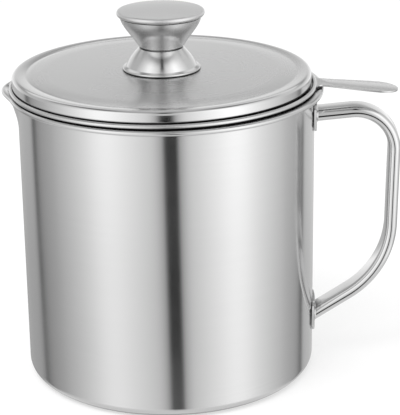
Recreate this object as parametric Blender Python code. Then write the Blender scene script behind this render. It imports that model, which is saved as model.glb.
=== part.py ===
"""Stainless steel drippings pot: a cup with a pouring lip, a lift-out strainer and a lift-off lid.

The origin is the centre of the base. +Z is up, +X points to the handle and the pouring lip is at -X.
"""

import math

import bmesh
import bpy
from mathutils import Matrix, Vector

MM = 0.001

# Fits
SEAT_GAP = 0.3 * MM             # between faces that touch
SEAT_SHIFT = 1.2 * MM           # how far the loose strainer sits towards the pouring lip
LID_SHIFT = 0.4 * MM            # and the loose lid on the strainer

# Cup
CUP_RADIUS = 60 * MM            # outside of the wall
CUP_HEIGHT = 119.5 * MM         # top of the rolled rim
CUP_WALL = 0.7 * MM
CUP_CORNER = 4.5 * MM           # outside rounding between wall and base
RIM_OVERHANG = 3.6 * MM
RIM_THICKNESS = 1.9 * MM
RIM_INNER_ROUND = 1.2 * MM
LIP_REACH = 3.0 * MM            # how far the pouring lip is drawn out
LIP_DEPTH = 15 * MM             # how far below the rim's top the drawing starts
LIP_FULL_DEPTH = 3.5 * MM       # and where it has its full reach
LIP_HALF_ANGLE = math.radians(18)
LIP_BEARING = math.radians(180)

# Handle
HANDLE_WIDTH = 11.6 * MM
HANDLE_THICKNESS = 4.8 * MM
HANDLE_WALL = 0.7 * MM
HANDLE_REACH = 32.8 * MM        # from the cup's wall to the upper corner
HANDLE_LEAN = 1.1 * MM          # lower corner nearer to the cup than the upper one
HANDLE_ROOT_DROP = 11.6 * MM    # upper root below the rim's top
HANDLE_ARM_RISE = 3.2 * MM      # upper arm, root to corner
HANDLE_FOOT = 21.3 * MM         # lower root above the base
HANDLE_KNEE_RISE = 20.0 * MM    # lower arm, root to corner
HANDLE_UPPER_BEND = 16 * MM
HANDLE_LOWER_BEND = 38 * MM
PLATE_THICKNESS = 0.8 * MM
PLATE_MARGIN = 3.4 * MM         # round the tube's end
PLATE_CORNER = 3.0 * MM

# Strainer
STRAINER_SHEET = 0.6 * MM
STRAINER_OVERLAP = 2.0 * MM     # flange beyond the cup's wall
STRAINER_BEAD = 1.8 * MM        # thickness of the rolled edge
STRAINER_RIM_LIP = 1.1 * MM     # rolled edge above the ledge that the lid stands on
STRAINER_DEPTH = 14 * MM        # skirt, flange to shelf
SHELF_WIDTH = 5.2 * MM
TONGUE_LENGTH = 32.9 * MM
TONGUE_WIDTH = 14.6 * MM
TONGUE_ROOT_WIDTH = 10 * MM
TONGUE_FILLET = 2.5 * MM
TONGUE_THICKNESS = 0.8 * MM
TONGUE_DIP = math.radians(5.3)
TONGUE_BEARING = math.radians(0.6)
TONGUE_WIDEST_SHARE = 0.77
NET_THICKNESS = 0.5 * MM
NET_DEPTH = 22 * MM
NET_PITCH = 8 * MM
NET_BAR = 1.6 * MM
BAND_THICKNESS = 0.8 * MM
BAND_HEIGHT = 4 * MM
BAND_WIDTH = 3.6 * MM

# Lid
LID_SHEET = 0.5 * MM
LID_REACH = 0.1 * MM            # lid's edge beyond the inside of the strainer's rolled edge
LID_EDGE_HEIGHT = 5.57 * MM     # turned-down edge, top to bottom
LID_EDGE_ROUND = 1.2 * MM       # its outside rounding at the top
LID_CURL_ROUND = 1.7 * MM       # and that of the curl at the bottom
LID_TAPER = 0.2 * MM            # curl inside the edge
LID_SKIRT_TURN = -4             # degrees from level that the skirt between them faces
LID_CURL_TURN = -140            # and where the curl ends
LID_LAND_WIDTH = 4.53 * MM      # crease to the start of the rounding
LID_PANEL_RISE = 0.44 * MM      # panel's middle above the edge
LID_DOME = 0.35 * MM            # panel's middle above its edge, for an even dome
LID_ROLL_OFF = 0.5 * MM         # further fall of its outer part
LID_ROLL_OFF_WIDTH = 8.6 * MM   # start of that fall to the crease

# Knob
KNOB_SHEET = 0.8 * MM
SLANTED_SHEET_SHARE = 1.2       # its slanted sides measured level, as a share of the sheet
KNOB_FOOT_RADIUS = 15.7 * MM
KNOB_FOOT_LIP = 1.2 * MM
KNOB_FOOT_HEIGHT = 9.0 * MM
KNOB_NECK_RADIUS = 9.1 * MM
KNOB_RADIUS = 17.6 * MM
KNOB_CUP_HEIGHT = 11.9 * MM
KNOB_BULGE_SHARE = 0.09         # of the flare, bulged out below the cap
CAP_ROUND = 1.2 * MM
CAP_DOME = 1.4 * MM
CAP_EDGE_TURN = 84              # degrees past level where the rounded edge meets the dome
CAP_RING_SHARES = (0.75, 0.5, 0.25)
CAP_PLUG_DEPTH = 1.6 * MM
SCREW_RADIUS = 2.0 * MM
SCREW_HEAD_RADIUS = 3.8 * MM
SCREW_HEAD_HEIGHT = 1.6 * MM
SCREW_SLOT_WIDTH = 0.9 * MM
SCREW_SLOT_DEPTH = 0.7 * MM
WASHER_RADIUS = 5.5 * MM
WASHER_THICKNESS = 0.8 * MM
BOSS_RADIUS = 5.0 * MM
BOSS_HEIGHT = 5.0 * MM

# Smoothness of the round shapes
WALL_STEPS = 60
KNOB_STEPS = 36
SCREW_STEPS = 20
BEND_STEPS = 7
SECTION_STEPS = 16
ROUND_STEPS = 4
LIP_ROWS = 5
PANEL_STEPS = 3
EDGE_STEPS = 7

# Sizes that follow from the ones above
CUP_BORE = CUP_RADIUS - CUP_WALL
STRAINER_RADIUS = CUP_RADIUS + STRAINER_OVERLAP
STRAINER_SEAT = CUP_HEIGHT + SEAT_GAP
STRAINER_LEDGE = STRAINER_SEAT + STRAINER_BEAD - STRAINER_RIM_LIP
SKIRT_RADIUS = CUP_BORE - SEAT_SHIFT - SEAT_GAP
SKIRT_BORE = SKIRT_RADIUS - STRAINER_SHEET
SHELF_TOP = STRAINER_SEAT - STRAINER_DEPTH + STRAINER_SHEET
SHELF_BORE = SKIRT_RADIUS - SHELF_WIDTH
NET_SEAT = SHELF_TOP + SEAT_GAP
LID_RADIUS = STRAINER_RADIUS - STRAINER_BEAD + LID_REACH
LID_SEAT = STRAINER_LEDGE + SEAT_GAP
LID_LAND = LID_SEAT + LID_EDGE_HEIGHT
EDGE = (LID_RADIUS - LID_EDGE_ROUND, LID_LAND - LID_EDGE_ROUND)
CURL = (LID_RADIUS - LID_TAPER - LID_CURL_ROUND, LID_SEAT + LID_CURL_ROUND)
PANEL_RADIUS = EDGE[0] - LID_LAND_WIDTH
PANEL_TOP = LID_LAND + LID_PANEL_RISE
ROLL_OFF_START = PANEL_RADIUS - LID_ROLL_OFF_WIDTH
SCREW_HOLE = SCREW_RADIUS + SEAT_GAP
KNOB_SEAT = PANEL_TOP - LID_DOME * (KNOB_FOOT_RADIUS / PANEL_RADIUS) ** 2 + SEAT_GAP
KNOB_CUP_SEAT = KNOB_SEAT + KNOB_FOOT_HEIGHT + SEAT_GAP
CAP_SEAT = KNOB_CUP_SEAT + KNOB_CUP_HEIGHT + SEAT_GAP
PLATE_RADIUS = CUP_RADIUS + SEAT_GAP
TUBE_START = PLATE_RADIUS + PLATE_THICKNESS + SEAT_GAP
KNOB_LEVEL_SHEET = KNOB_SHEET * SLANTED_SHEET_SHARE
WELD_DISTANCE = SEAT_GAP / 100


def clear_scene():
    for item in list(bpy.data.objects):
        bpy.data.objects.remove(item, do_unlink=True)


def steel(name, colour, roughness):
    finish = bpy.data.materials.new(name)
    finish.use_nodes = True
    shader = finish.node_tree.nodes["Principled BSDF"]
    shader.inputs["Base Color"].default_value = (*colour, 1.0)
    shader.inputs["Roughness"].default_value = roughness
    shader.inputs["Metallic"].default_value = 1.0
    return finish


def add_object(name, mesh_builder, finish, sharp_angle=35):
    bmesh.ops.recalc_face_normals(mesh_builder, faces=mesh_builder.faces)
    mesh = bpy.data.meshes.new(name)
    mesh_builder.to_mesh(mesh)
    mesh_builder.free()
    mesh.materials.append(finish)
    mesh.shade_smooth()
    mesh.set_sharp_from_angle(angle=math.radians(sharp_angle))
    item = bpy.data.objects.new(name, mesh)
    bpy.context.scene.collection.objects.link(item)
    return item


def empty(name, place):
    carrier = bpy.data.objects.new(name, None)
    carrier.location = place
    bpy.context.scene.collection.objects.link(carrier)
    return carrier


def arc(centre, radius, start, end, steps=ROUND_STEPS):
    """Points (radius, height) round a centre, between two angles in degrees."""
    points = []
    for step in range(steps + 1):
        angle = math.radians(start + (end - start) * step / steps)
        points.append((centre[0] + radius * math.cos(angle), centre[1] + radius * math.sin(angle)))
    return points


def ease(share):
    share = min(max(share, 0.0), 1.0)
    return share * share * (3.0 - 2.0 * share)


def turned(outline, steps, ring=False):
    """Turn an outline of (radius, height) points about Z. A ring's outline closes on itself."""
    builder = bmesh.new()
    corners = [builder.verts.new((radius, 0.0, height)) for radius, height in outline]
    edges = [builder.edges.new(pair) for pair in zip(corners, corners[1:])]
    if ring:
        edges.append(builder.edges.new((corners[-1], corners[0])))
    bmesh.ops.spin(
        builder, geom=corners + edges, cent=(0.0, 0.0, 0.0), axis=(0.0, 0.0, 1.0),
        angle=math.tau, steps=steps, use_merge=True,
    )
    bmesh.ops.remove_doubles(builder, verts=builder.verts, dist=WELD_DISTANCE)
    return builder


def lip_pull(bearing, height):
    """Outward pull of the pouring lip at a bearing and a height."""
    turn = abs((bearing - LIP_BEARING + math.pi) % math.tau - math.pi)
    if turn >= LIP_HALF_ANGLE:
        return 0.0
    across = math.cos(math.pi / 2 * turn / LIP_HALF_ANGLE) ** 2
    start = CUP_HEIGHT - LIP_DEPTH
    return LIP_REACH * across * ease((height - start) / (LIP_DEPTH - LIP_FULL_DEPTH))


def cup_outline():
    rim_round = RIM_THICKNESS / 2
    corner = (CUP_RADIUS - CUP_CORNER, CUP_CORNER)
    start = CUP_HEIGHT - LIP_DEPTH
    end = CUP_HEIGHT - RIM_THICKNESS
    rows = [start + (end - start) * row / LIP_ROWS for row in range(LIP_ROWS + 1)]
    points = [(0.0, 0.0)]
    points += arc(corner, CUP_CORNER, -90, 0)
    points += [(CUP_RADIUS, height) for height in rows]
    points += arc((CUP_RADIUS + RIM_OVERHANG - rim_round, CUP_HEIGHT - rim_round), rim_round, -90, 90)
    points += arc((CUP_BORE + RIM_INNER_ROUND, CUP_HEIGHT - RIM_INNER_ROUND), RIM_INNER_ROUND, 90, 180, 3)
    points += [(CUP_BORE, height) for height in reversed(rows)]
    points += arc(corner, CUP_CORNER - CUP_WALL, 0, -90)
    points.append((0.0, CUP_WALL))
    return points


def build_cup(finish):
    builder = turned(cup_outline(), WALL_STEPS)
    for corner in builder.verts:
        radius = math.hypot(corner.co.x, corner.co.y)
        bearing = math.atan2(corner.co.y, corner.co.x)
        pull = lip_pull(bearing, corner.co.z)
        if pull > 0.0:
            corner.co.x *= 1.0 + pull / radius
            corner.co.y *= 1.0 + pull / radius
    return add_object("cup_body", builder, finish)


def rounded_path(corners, bends):
    """Points and directions (x, z) along a line whose inner corners are rounded."""
    path = []

    def add(point, direction):
        path.append((point, direction.normalized()))

    corners = [Vector(corner) for corner in corners]
    add(corners[0], corners[1] - corners[0])
    for before, corner, after, bend in zip(corners, corners[1:], corners[2:], bends):
        towards = (corner - before).normalized()
        away = (after - corner).normalized()
        half_turn = towards.angle(away) / 2
        start = corner - towards * bend * math.tan(half_turn)
        centre = corner + (away - towards).normalized() * bend / math.cos(half_turn)
        spoke = start - centre
        sign = 1 if towards.cross(away) > 0 else -1
        for step in range(BEND_STEPS + 1):
            spin = Matrix.Rotation(sign * 2 * half_turn * step / BEND_STEPS, 2)
            add(centre + spin @ spoke, spin @ towards)
    add(corners[-1], corners[-1] - corners[-2])
    return path


def section(width, thickness):
    """Flat-sided oval as (across, through) points."""
    end = (width - thickness) / 2
    half_steps = SECTION_STEPS // 2 - 1
    return (arc((end, 0.0), thickness / 2, -90, 90, half_steps)
            + arc((-end, 0.0), thickness / 2, 90, 270, half_steps))


def handle_path():
    upper_root = (TUBE_START, CUP_HEIGHT - HANDLE_ROOT_DROP)
    upper_corner = (CUP_RADIUS + HANDLE_REACH, upper_root[1] + HANDLE_ARM_RISE)
    lower_corner = (upper_corner[0] - HANDLE_LEAN, HANDLE_FOOT + HANDLE_KNEE_RISE)
    lower_root = (TUBE_START, HANDLE_FOOT)
    corners = [upper_root, upper_corner, lower_corner, lower_root]
    return rounded_path(corners, [HANDLE_UPPER_BEND, HANDLE_LOWER_BEND])


def tube_loops(builder, path, outline):
    """Rings of vertices along the handle; the first and last are coped to the plate's curve."""
    loops = []
    for place, (point, direction) in enumerate(path):
        normal = Vector((-direction.y, direction.x))
        loop = []
        for across, through in outline:
            spot = point + normal * through
            if place in (0, len(path) - 1):
                wall = math.sqrt(TUBE_START ** 2 - across ** 2)
                spot = spot + direction * (wall - spot.x) / direction.x
            loop.append(builder.verts.new((spot.x, across, spot.y)))
        loops.append(loop)
    return loops


def join_loops(builder, first, second):
    for a, b, c, d in zip(first, first[1:] + first[:1], second[1:] + second[:1], second):
        builder.faces.new((a, b, c, d))


def build_handle(finish):
    builder = bmesh.new()
    path = handle_path()
    bore_width = HANDLE_WIDTH - 2 * HANDLE_WALL
    bore_thickness = HANDLE_THICKNESS - 2 * HANDLE_WALL
    outer = tube_loops(builder, path, section(HANDLE_WIDTH, HANDLE_THICKNESS))
    inner = tube_loops(builder, path, section(bore_width, bore_thickness))
    for skin in (outer, inner):
        for first, second in zip(skin, skin[1:]):
            join_loops(builder, first, second)
    join_loops(builder, outer[0], inner[0])
    join_loops(builder, outer[-1], inner[-1])
    return add_object("handle_tube", builder, finish)


def build_plate(name, height, slope, finish):
    """Saddle plate on the cup's wall, centred on a tube root whose arm has the given slope."""
    half_width = HANDLE_WIDTH / 2 + PLATE_MARGIN
    half_height = HANDLE_THICKNESS / 2 / math.cos(slope) + PLATE_MARGIN
    front = PLATE_RADIUS + PLATE_THICKNESS
    straight = half_width - PLATE_CORNER
    turns = [math.pi / 2 * step / ROUND_STEPS for step in range(ROUND_STEPS + 1)]
    corner = [straight + PLATE_CORNER * math.sin(turn) for turn in turns]
    places = [-place for place in reversed(corner)] + [0.0] + corner
    builder = bmesh.new()
    columns = []
    for place in places:
        past = max(abs(place) - straight, 0.0)
        reach = half_height - PLATE_CORNER + math.sqrt(max(PLATE_CORNER ** 2 - past ** 2, 0.0))
        bearing = place / PLATE_RADIUS
        column = []
        for radius, lift in ((PLATE_RADIUS, -reach), (PLATE_RADIUS, reach), (front, reach), (front, -reach)):
            spot = (radius * math.cos(bearing), radius * math.sin(bearing), height + lift)
            column.append(builder.verts.new(spot))
        columns.append(column)
    for first, second in zip(columns, columns[1:]):
        join_loops(builder, first, second)
    builder.faces.new(columns[0])
    builder.faces.new(columns[-1])
    return add_object(name, builder, finish)


def strainer_outline():
    bead_round = STRAINER_BEAD / 2
    bead = (STRAINER_RADIUS - bead_round, STRAINER_SEAT + bead_round)
    shelf_bottom = SHELF_TOP - STRAINER_SHEET
    points = [(SKIRT_RADIUS, shelf_bottom), (SKIRT_RADIUS, STRAINER_LEDGE - STRAINER_SHEET)]
    points.append((STRAINER_RADIUS - STRAINER_BEAD, STRAINER_LEDGE - STRAINER_SHEET))
    points += arc(bead, bead_round, -150, 150, 2 * ROUND_STEPS)
    points.append((STRAINER_RADIUS - STRAINER_BEAD, STRAINER_LEDGE))
    points += [(SKIRT_BORE, STRAINER_LEDGE), (SKIRT_BORE, SHELF_TOP)]
    points += [(SHELF_BORE, SHELF_TOP), (SHELF_BORE, shelf_bottom)]
    return points


def tongue_half_width(place):
    """Half the tongue's width at a distance from its root."""
    widest = TONGUE_LENGTH * TONGUE_WIDEST_SHARE
    if place < widest:
        half = TONGUE_ROOT_WIDTH / 2 + (TONGUE_WIDTH - TONGUE_ROOT_WIDTH) / 2 * ease(place / widest)
    else:
        past = (place - widest) / (TONGUE_LENGTH - widest)
        half = TONGUE_WIDTH / 2 * math.sqrt(max(1.0 - past ** 2, 0.0))
    if place < TONGUE_FILLET:
        half += TONGUE_FILLET * (1.0 - math.sqrt(1.0 - (1.0 - place / TONGUE_FILLET) ** 2))
    return half


def build_tongue(finish):
    """Lifting tongue, drawn flat from the middle of the flange's rolled edge and then dipped."""
    root = STRAINER_RADIUS - STRAINER_BEAD / 2
    bead = STRAINER_BEAD / 2
    widest = TONGUE_LENGTH * TONGUE_WIDEST_SHARE
    places = [TONGUE_FILLET * step / ROUND_STEPS for step in range(ROUND_STEPS)]
    places += [TONGUE_FILLET + (widest - TONGUE_FILLET) * step / ROUND_STEPS for step in range(ROUND_STEPS)]
    places += [widest + (TONGUE_LENGTH - widest) * math.sin(math.pi / 2 * step / BEND_STEPS)
               for step in range(BEND_STEPS)]
    side = [(bead + place, tongue_half_width(place)) for place in places]
    side.insert(0, (0.0, side[0][1]))
    tip = [(bead + TONGUE_LENGTH, 0.0)]
    outline = side + tip + [(along, -across) for along, across in reversed(side)]
    builder = bmesh.new()
    face = builder.faces.new([builder.verts.new((along, across, 0.0)) for along, across in outline])
    rise = bmesh.ops.extrude_face_region(builder, geom=[face])
    risen = [item for item in rise["geom"] if isinstance(item, bmesh.types.BMVert)]
    bmesh.ops.translate(builder, verts=risen, vec=(0.0, 0.0, TONGUE_THICKNESS))
    place = Matrix.Rotation(TONGUE_BEARING, 4, "Z") @ Matrix.Translation((root, 0.0, 0.0))
    place = Matrix.Translation((0.0, 0.0, STRAINER_SEAT + bead - TONGUE_THICKNESS / 2)) @ place
    builder.transform(place @ Matrix.Rotation(TONGUE_DIP, 4, "Y"))
    return add_object("lifting_tongue", builder, finish)


def join_into(target, tool, operation):
    """Apply a Boolean of one object to another and remove the tool."""
    cut = target.modifiers.new(operation.lower(), "BOOLEAN")
    cut.operation = operation
    cut.solver = "EXACT"
    cut.object = tool
    bpy.context.view_layer.update()
    result = bpy.data.meshes.new_from_object(target.evaluated_get(bpy.context.evaluated_depsgraph_get()))
    target.modifiers.clear()
    target.data = result
    bpy.data.objects.remove(tool, do_unlink=True)


def build_strainer(finish, carrier):
    frame = add_object("strainer_frame", turned(strainer_outline(), WALL_STEPS, ring=True), finish)
    join_into(frame, build_tongue(finish), "UNION")
    frame.parent = carrier
    return frame


def net_drop(radius):
    """Depth of the net's bowl at a radius."""
    brim = SHELF_BORE - SEAT_GAP
    return NET_DEPTH * max(1.0 - (radius / brim) ** 2, 0.0)


def net_squares():
    """Corners of the net's square gaps that lie whole within the bowl."""
    half_gap = (NET_PITCH - NET_BAR) / 2
    limit = SHELF_BORE - SEAT_GAP - NET_BAR
    count = int(limit / NET_PITCH)
    for row in range(-count, count + 1):
        for column in range(-count, count + 1):
            x, y = column * NET_PITCH, row * NET_PITCH
            square = [(x - half_gap, y - half_gap), (x + half_gap, y - half_gap),
                      (x + half_gap, y + half_gap), (x - half_gap, y + half_gap)]
            if max(math.hypot(*corner) for corner in square) < limit:
                yield square


def build_net(finish, carrier):
    builder = bmesh.new()
    edges = []

    def add_loop(points):
        loop = [builder.verts.new((x, y, 0.0)) for x, y in points]
        edges.extend(builder.edges.new(pair) for pair in zip(loop, loop[1:] + loop[:1]))

    brim = SHELF_BORE - SEAT_GAP
    angles = [math.tau * step / WALL_STEPS for step in range(WALL_STEPS)]
    add_loop([(brim * math.cos(angle), brim * math.sin(angle)) for angle in angles])
    for square in net_squares():
        add_loop(square)
    bmesh.ops.triangle_fill(builder, edges=edges, use_beauty=True)
    rim = bmesh.ops.extrude_edge_only(builder, edges=edges[:WALL_STEPS])
    flange = SKIRT_BORE - SEAT_GAP
    for item in rim["geom"]:
        if isinstance(item, bmesh.types.BMVert):
            item.co.xy = item.co.xy.normalized() * flange
    for corner in builder.verts:
        corner.co.z = NET_SEAT - net_drop(corner.co.xy.length)
    rise = bmesh.ops.extrude_face_region(builder, geom=list(builder.faces))
    risen = [item for item in rise["geom"] if isinstance(item, bmesh.types.BMVert)]
    bmesh.ops.translate(builder, verts=risen, vec=(0.0, 0.0, NET_THICKNESS))
    net = add_object("strainer_mesh", builder, finish)
    net.parent = carrier
    return net


def build_band(finish, carrier):
    seat = NET_SEAT + NET_THICKNESS + SEAT_GAP
    outer = SKIRT_BORE - SEAT_GAP
    outline = [(outer, seat), (outer, seat + BAND_HEIGHT), (outer - BAND_THICKNESS, seat + BAND_HEIGHT),
               (outer - BAND_THICKNESS, seat + BAND_THICKNESS), (outer - BAND_WIDTH, seat + BAND_THICKNESS),
               (outer - BAND_WIDTH, seat)]
    band = add_object("mesh_band", turned(outline, WALL_STEPS, ring=True), finish)
    band.parent = carrier
    return band


def panel_height(radius):
    """Height of the domed panel, which falls faster in its outer part."""
    roll = max(radius - ROLL_OFF_START, 0.0) / LID_ROLL_OFF_WIDTH
    return PANEL_TOP - LID_DOME * (radius / PANEL_RADIUS) ** 2 - LID_ROLL_OFF * roll ** 2


def lid_skin(inset):
    """Points (radius, height) from the screw's hole outward and round the turned edge.

    The inset is how far they lie inside the outer skin.
    """
    inner = ROLL_OFF_START - SCREW_HOLE
    radii = [SCREW_HOLE + inner * step / PANEL_STEPS for step in range(PANEL_STEPS)]
    radii += [ROLL_OFF_START + LID_ROLL_OFF_WIDTH * step / PANEL_STEPS for step in range(PANEL_STEPS + 1)]
    points = [(radius, panel_height(radius) - inset) for radius in radii]
    points += arc(EDGE, LID_EDGE_ROUND - inset, 90, LID_SKIRT_TURN, EDGE_STEPS)
    return points + arc(CURL, LID_CURL_ROUND - inset, LID_SKIRT_TURN, LID_CURL_TURN, EDGE_STEPS)


def build_lid(finish, carrier):
    outline = lid_skin(0.0) + lid_skin(LID_SHEET)[::-1]
    lid = add_object("lid_shell", turned(outline, WALL_STEPS, ring=True), finish)
    lid.parent = carrier
    return lid


def build_knob_foot(finish, carrier):
    top = KNOB_SEAT + KNOB_FOOT_HEIGHT
    lip_round = KNOB_FOOT_LIP / 2
    cone_start = KNOB_FOOT_RADIUS - KNOB_FOOT_LIP
    outline = [(KNOB_FOOT_RADIUS - KNOB_SHEET - lip_round, KNOB_SEAT)]
    outline += arc((KNOB_FOOT_RADIUS - lip_round, KNOB_SEAT + lip_round), lip_round, -90, 90)
    outline += arc((KNOB_NECK_RADIUS - KNOB_SHEET / 2, top - KNOB_SHEET / 2), KNOB_SHEET / 2, 30, 90, 2)
    outline += [(SCREW_HOLE, top), (SCREW_HOLE, top - KNOB_SHEET)]
    outline.append((KNOB_NECK_RADIUS - KNOB_LEVEL_SHEET, top - KNOB_SHEET))
    outline.append((cone_start - KNOB_LEVEL_SHEET, KNOB_SEAT + KNOB_FOOT_LIP))
    foot = add_object("knob_foot", turned(outline, KNOB_STEPS, ring=True), finish)
    foot.parent = carrier
    return foot


def knob_cup_radius(share):
    """Outer radius of the knob's cup: nearly straight, drawn in a little below the cap."""
    flare = KNOB_RADIUS - CAP_ROUND - KNOB_NECK_RADIUS
    return KNOB_NECK_RADIUS + flare * (share + KNOB_BULGE_SHARE * math.sin(math.pi * share ** 2))


def build_knob_cup(finish, carrier):
    top = KNOB_CUP_SEAT + KNOB_CUP_HEIGHT
    foot_round = KNOB_SHEET / 2
    shares = [step / BEND_STEPS for step in range(1, BEND_STEPS + 1)]
    outer = [(knob_cup_radius(share), KNOB_CUP_SEAT + KNOB_CUP_HEIGHT * share) for share in shares]
    inner_floor = KNOB_CUP_SEAT + KNOB_SHEET
    inner = [(radius - KNOB_LEVEL_SHEET, height) for radius, height in reversed(outer)]
    outline = [(SCREW_HOLE, KNOB_CUP_SEAT)]
    outline += arc((KNOB_NECK_RADIUS - foot_round, KNOB_CUP_SEAT + foot_round), foot_round, -90, 0, 2)
    outline += outer + inner
    outline.append((KNOB_NECK_RADIUS - KNOB_LEVEL_SHEET, inner_floor))
    outline.append((SCREW_HOLE, inner_floor))
    cup = add_object("knob_cup", turned(outline, KNOB_STEPS, ring=True), finish)
    cup.parent = carrier
    return cup


def build_knob_cap(finish, carrier):
    edge = (KNOB_RADIUS - CAP_ROUND, CAP_SEAT + CAP_ROUND)
    brim = CAP_SEAT + 2 * CAP_ROUND
    plug = KNOB_RADIUS - CAP_ROUND - KNOB_LEVEL_SHEET - SEAT_GAP - CAP_PLUG_DEPTH
    outline = [(0.0, CAP_SEAT - CAP_PLUG_DEPTH), (plug, CAP_SEAT - CAP_PLUG_DEPTH), (plug, CAP_SEAT)]
    outline += arc(edge, CAP_ROUND, -90, CAP_EDGE_TURN, BEND_STEPS)
    for share in CAP_RING_SHARES:
        radius = edge[0] * share
        outline.append((radius, brim + CAP_DOME * (1.0 - share ** 2)))
    outline.append((0.0, brim + CAP_DOME))
    cap = add_object("knob_cap", turned(outline, KNOB_STEPS), finish)
    cap.parent = carrier
    return cap


def build_boss(finish, carrier):
    seat = KNOB_CUP_SEAT + KNOB_SHEET + SEAT_GAP
    outline = [(SCREW_HOLE, seat), (BOSS_RADIUS, seat), (BOSS_RADIUS, seat + BOSS_HEIGHT),
               (SCREW_HOLE, seat + BOSS_HEIGHT)]
    boss = add_object("knob_boss", turned(outline, SCREW_STEPS, ring=True), finish)
    boss.parent = carrier
    return boss


def build_washer(finish, carrier):
    top = PANEL_TOP - LID_SHEET - SEAT_GAP
    outline = [(SCREW_HOLE, top - WASHER_THICKNESS), (WASHER_RADIUS, top - WASHER_THICKNESS),
               (WASHER_RADIUS, top), (SCREW_HOLE, top)]
    washer = add_object("lid_washer", turned(outline, SCREW_STEPS, ring=True), finish)
    washer.parent = carrier
    return washer


def build_screw(finish, carrier):
    head_top = PANEL_TOP - LID_SHEET - SEAT_GAP - WASHER_THICKNESS - SEAT_GAP
    head_bottom = head_top - SCREW_HEAD_HEIGHT
    tip = KNOB_CUP_SEAT + KNOB_SHEET + BOSS_HEIGHT
    outline = [(0.0, head_bottom)]
    outline += arc((SCREW_HEAD_RADIUS - SCREW_HEAD_HEIGHT / 2, head_bottom + SCREW_HEAD_HEIGHT / 2),
                   SCREW_HEAD_HEIGHT / 2, -90, 0, 3)
    outline += [(SCREW_HEAD_RADIUS, head_top), (SCREW_RADIUS, head_top), (SCREW_RADIUS, tip), (0.0, tip)]
    screw = add_object("lid_screw", turned(outline, SCREW_STEPS), finish)
    slot = bmesh.new()
    bmesh.ops.create_cube(slot, size=1.0)
    bmesh.ops.scale(slot, verts=slot.verts,
                    vec=(3 * SCREW_HEAD_RADIUS, SCREW_SLOT_WIDTH, 2 * SCREW_SLOT_DEPTH))
    bmesh.ops.translate(slot, verts=slot.verts, vec=(0.0, 0.0, head_bottom))
    join_into(screw, add_object("screw_slot", slot, finish), "DIFFERENCE")
    screw.parent = carrier
    return screw


def main():
    clear_scene()
    brushed = steel("brushed_steel", (0.62, 0.62, 0.62), 0.3)
    satin = steel("satin_steel", (0.66, 0.66, 0.66), 0.34)
    polished = steel("polished_steel", (0.72, 0.72, 0.72), 0.12)
    wire = steel("woven_wire", (0.55, 0.55, 0.55), 0.4)
    plated = steel("plated_steel", (0.58, 0.58, 0.57), 0.25)

    arm_slope = math.atan2(HANDLE_ARM_RISE, CUP_RADIUS + HANDLE_REACH - TUBE_START)
    foot_slope = math.atan2(HANDLE_KNEE_RISE, CUP_RADIUS + HANDLE_REACH - TUBE_START)
    build_cup(brushed)
    build_handle(polished)
    build_plate("upper_handle_plate", CUP_HEIGHT - HANDLE_ROOT_DROP, arm_slope, polished)
    build_plate("lower_handle_plate", HANDLE_FOOT, foot_slope, polished)

    strainer = empty("strainer_axis", (-SEAT_SHIFT, 0.0, 0.0))
    build_strainer(satin, strainer)
    build_net(wire, strainer)
    build_band(satin, strainer)

    lid = empty("lid_axis", (-LID_SHIFT, 0.0, 0.0))
    lid.parent = strainer
    build_lid(satin, lid)
    build_knob_foot(polished, lid)
    build_knob_cup(polished, lid)
    build_knob_cap(satin, lid)
    build_boss(plated, lid)
    build_washer(plated, lid)
    build_screw(plated, lid)


main()
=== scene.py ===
"""Looks of a stainless steel drippings pot with a lift-out strainer and a lift-off lid.

Each sub-assembly is a class: its fields are its sizes, and its methods build the meshes and dress them.
The origin is the centre of the base. +Z is up, +X points to the handle and the pouring lip is at -X.
"""

import logging
import math
from collections.abc import Callable, Iterable, Sequence
from dataclasses import dataclass, field
from enum import Enum

import bmesh
import bpy
from mathutils import Matrix, Vector

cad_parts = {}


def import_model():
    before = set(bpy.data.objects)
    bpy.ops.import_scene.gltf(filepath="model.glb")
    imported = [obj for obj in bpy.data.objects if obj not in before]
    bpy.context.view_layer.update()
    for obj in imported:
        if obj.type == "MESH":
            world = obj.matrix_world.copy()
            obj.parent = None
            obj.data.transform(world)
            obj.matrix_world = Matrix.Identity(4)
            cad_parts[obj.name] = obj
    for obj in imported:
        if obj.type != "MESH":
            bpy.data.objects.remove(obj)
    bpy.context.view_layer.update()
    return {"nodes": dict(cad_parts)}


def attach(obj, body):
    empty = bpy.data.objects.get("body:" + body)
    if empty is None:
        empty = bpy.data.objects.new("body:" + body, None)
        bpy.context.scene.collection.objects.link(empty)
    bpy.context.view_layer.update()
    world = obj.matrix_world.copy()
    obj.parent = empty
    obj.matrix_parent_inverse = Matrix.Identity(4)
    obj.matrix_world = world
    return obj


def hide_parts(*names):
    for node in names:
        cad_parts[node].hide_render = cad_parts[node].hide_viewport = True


LOG = logging.getLogger("drippings_pot")
MM = 0.001

Pair = tuple[float, float]
Point = tuple[float, float, float]
Outline = list[Pair]
Stops = tuple[Pair, ...]
Pull = Callable[[float, float, float], float]
Value = "Wire | float | Sequence[float]"


class Body(Enum):
    """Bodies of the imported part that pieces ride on."""

    POT = "pot"
    STRAINER = "strainer"
    LID = "lid"


class Slot(Enum):
    """Material slots of the record."""

    BRUSHED = "brushed_steel"
    SATIN = "satin_steel"
    POLISHED = "polished_steel"
    WOVEN = "woven_wire"
    PLATED = "plated_steel"


class Join(Enum):
    """Ways to make one solid of two."""

    ADD = "UNION"
    CUT = "DIFFERENCE"


# Shader graphs


def grey(shade: float) -> tuple[float, float, float, float]:
    """Colour with the same value in every channel."""
    return (shade, shade, shade, 1.0)


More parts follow.
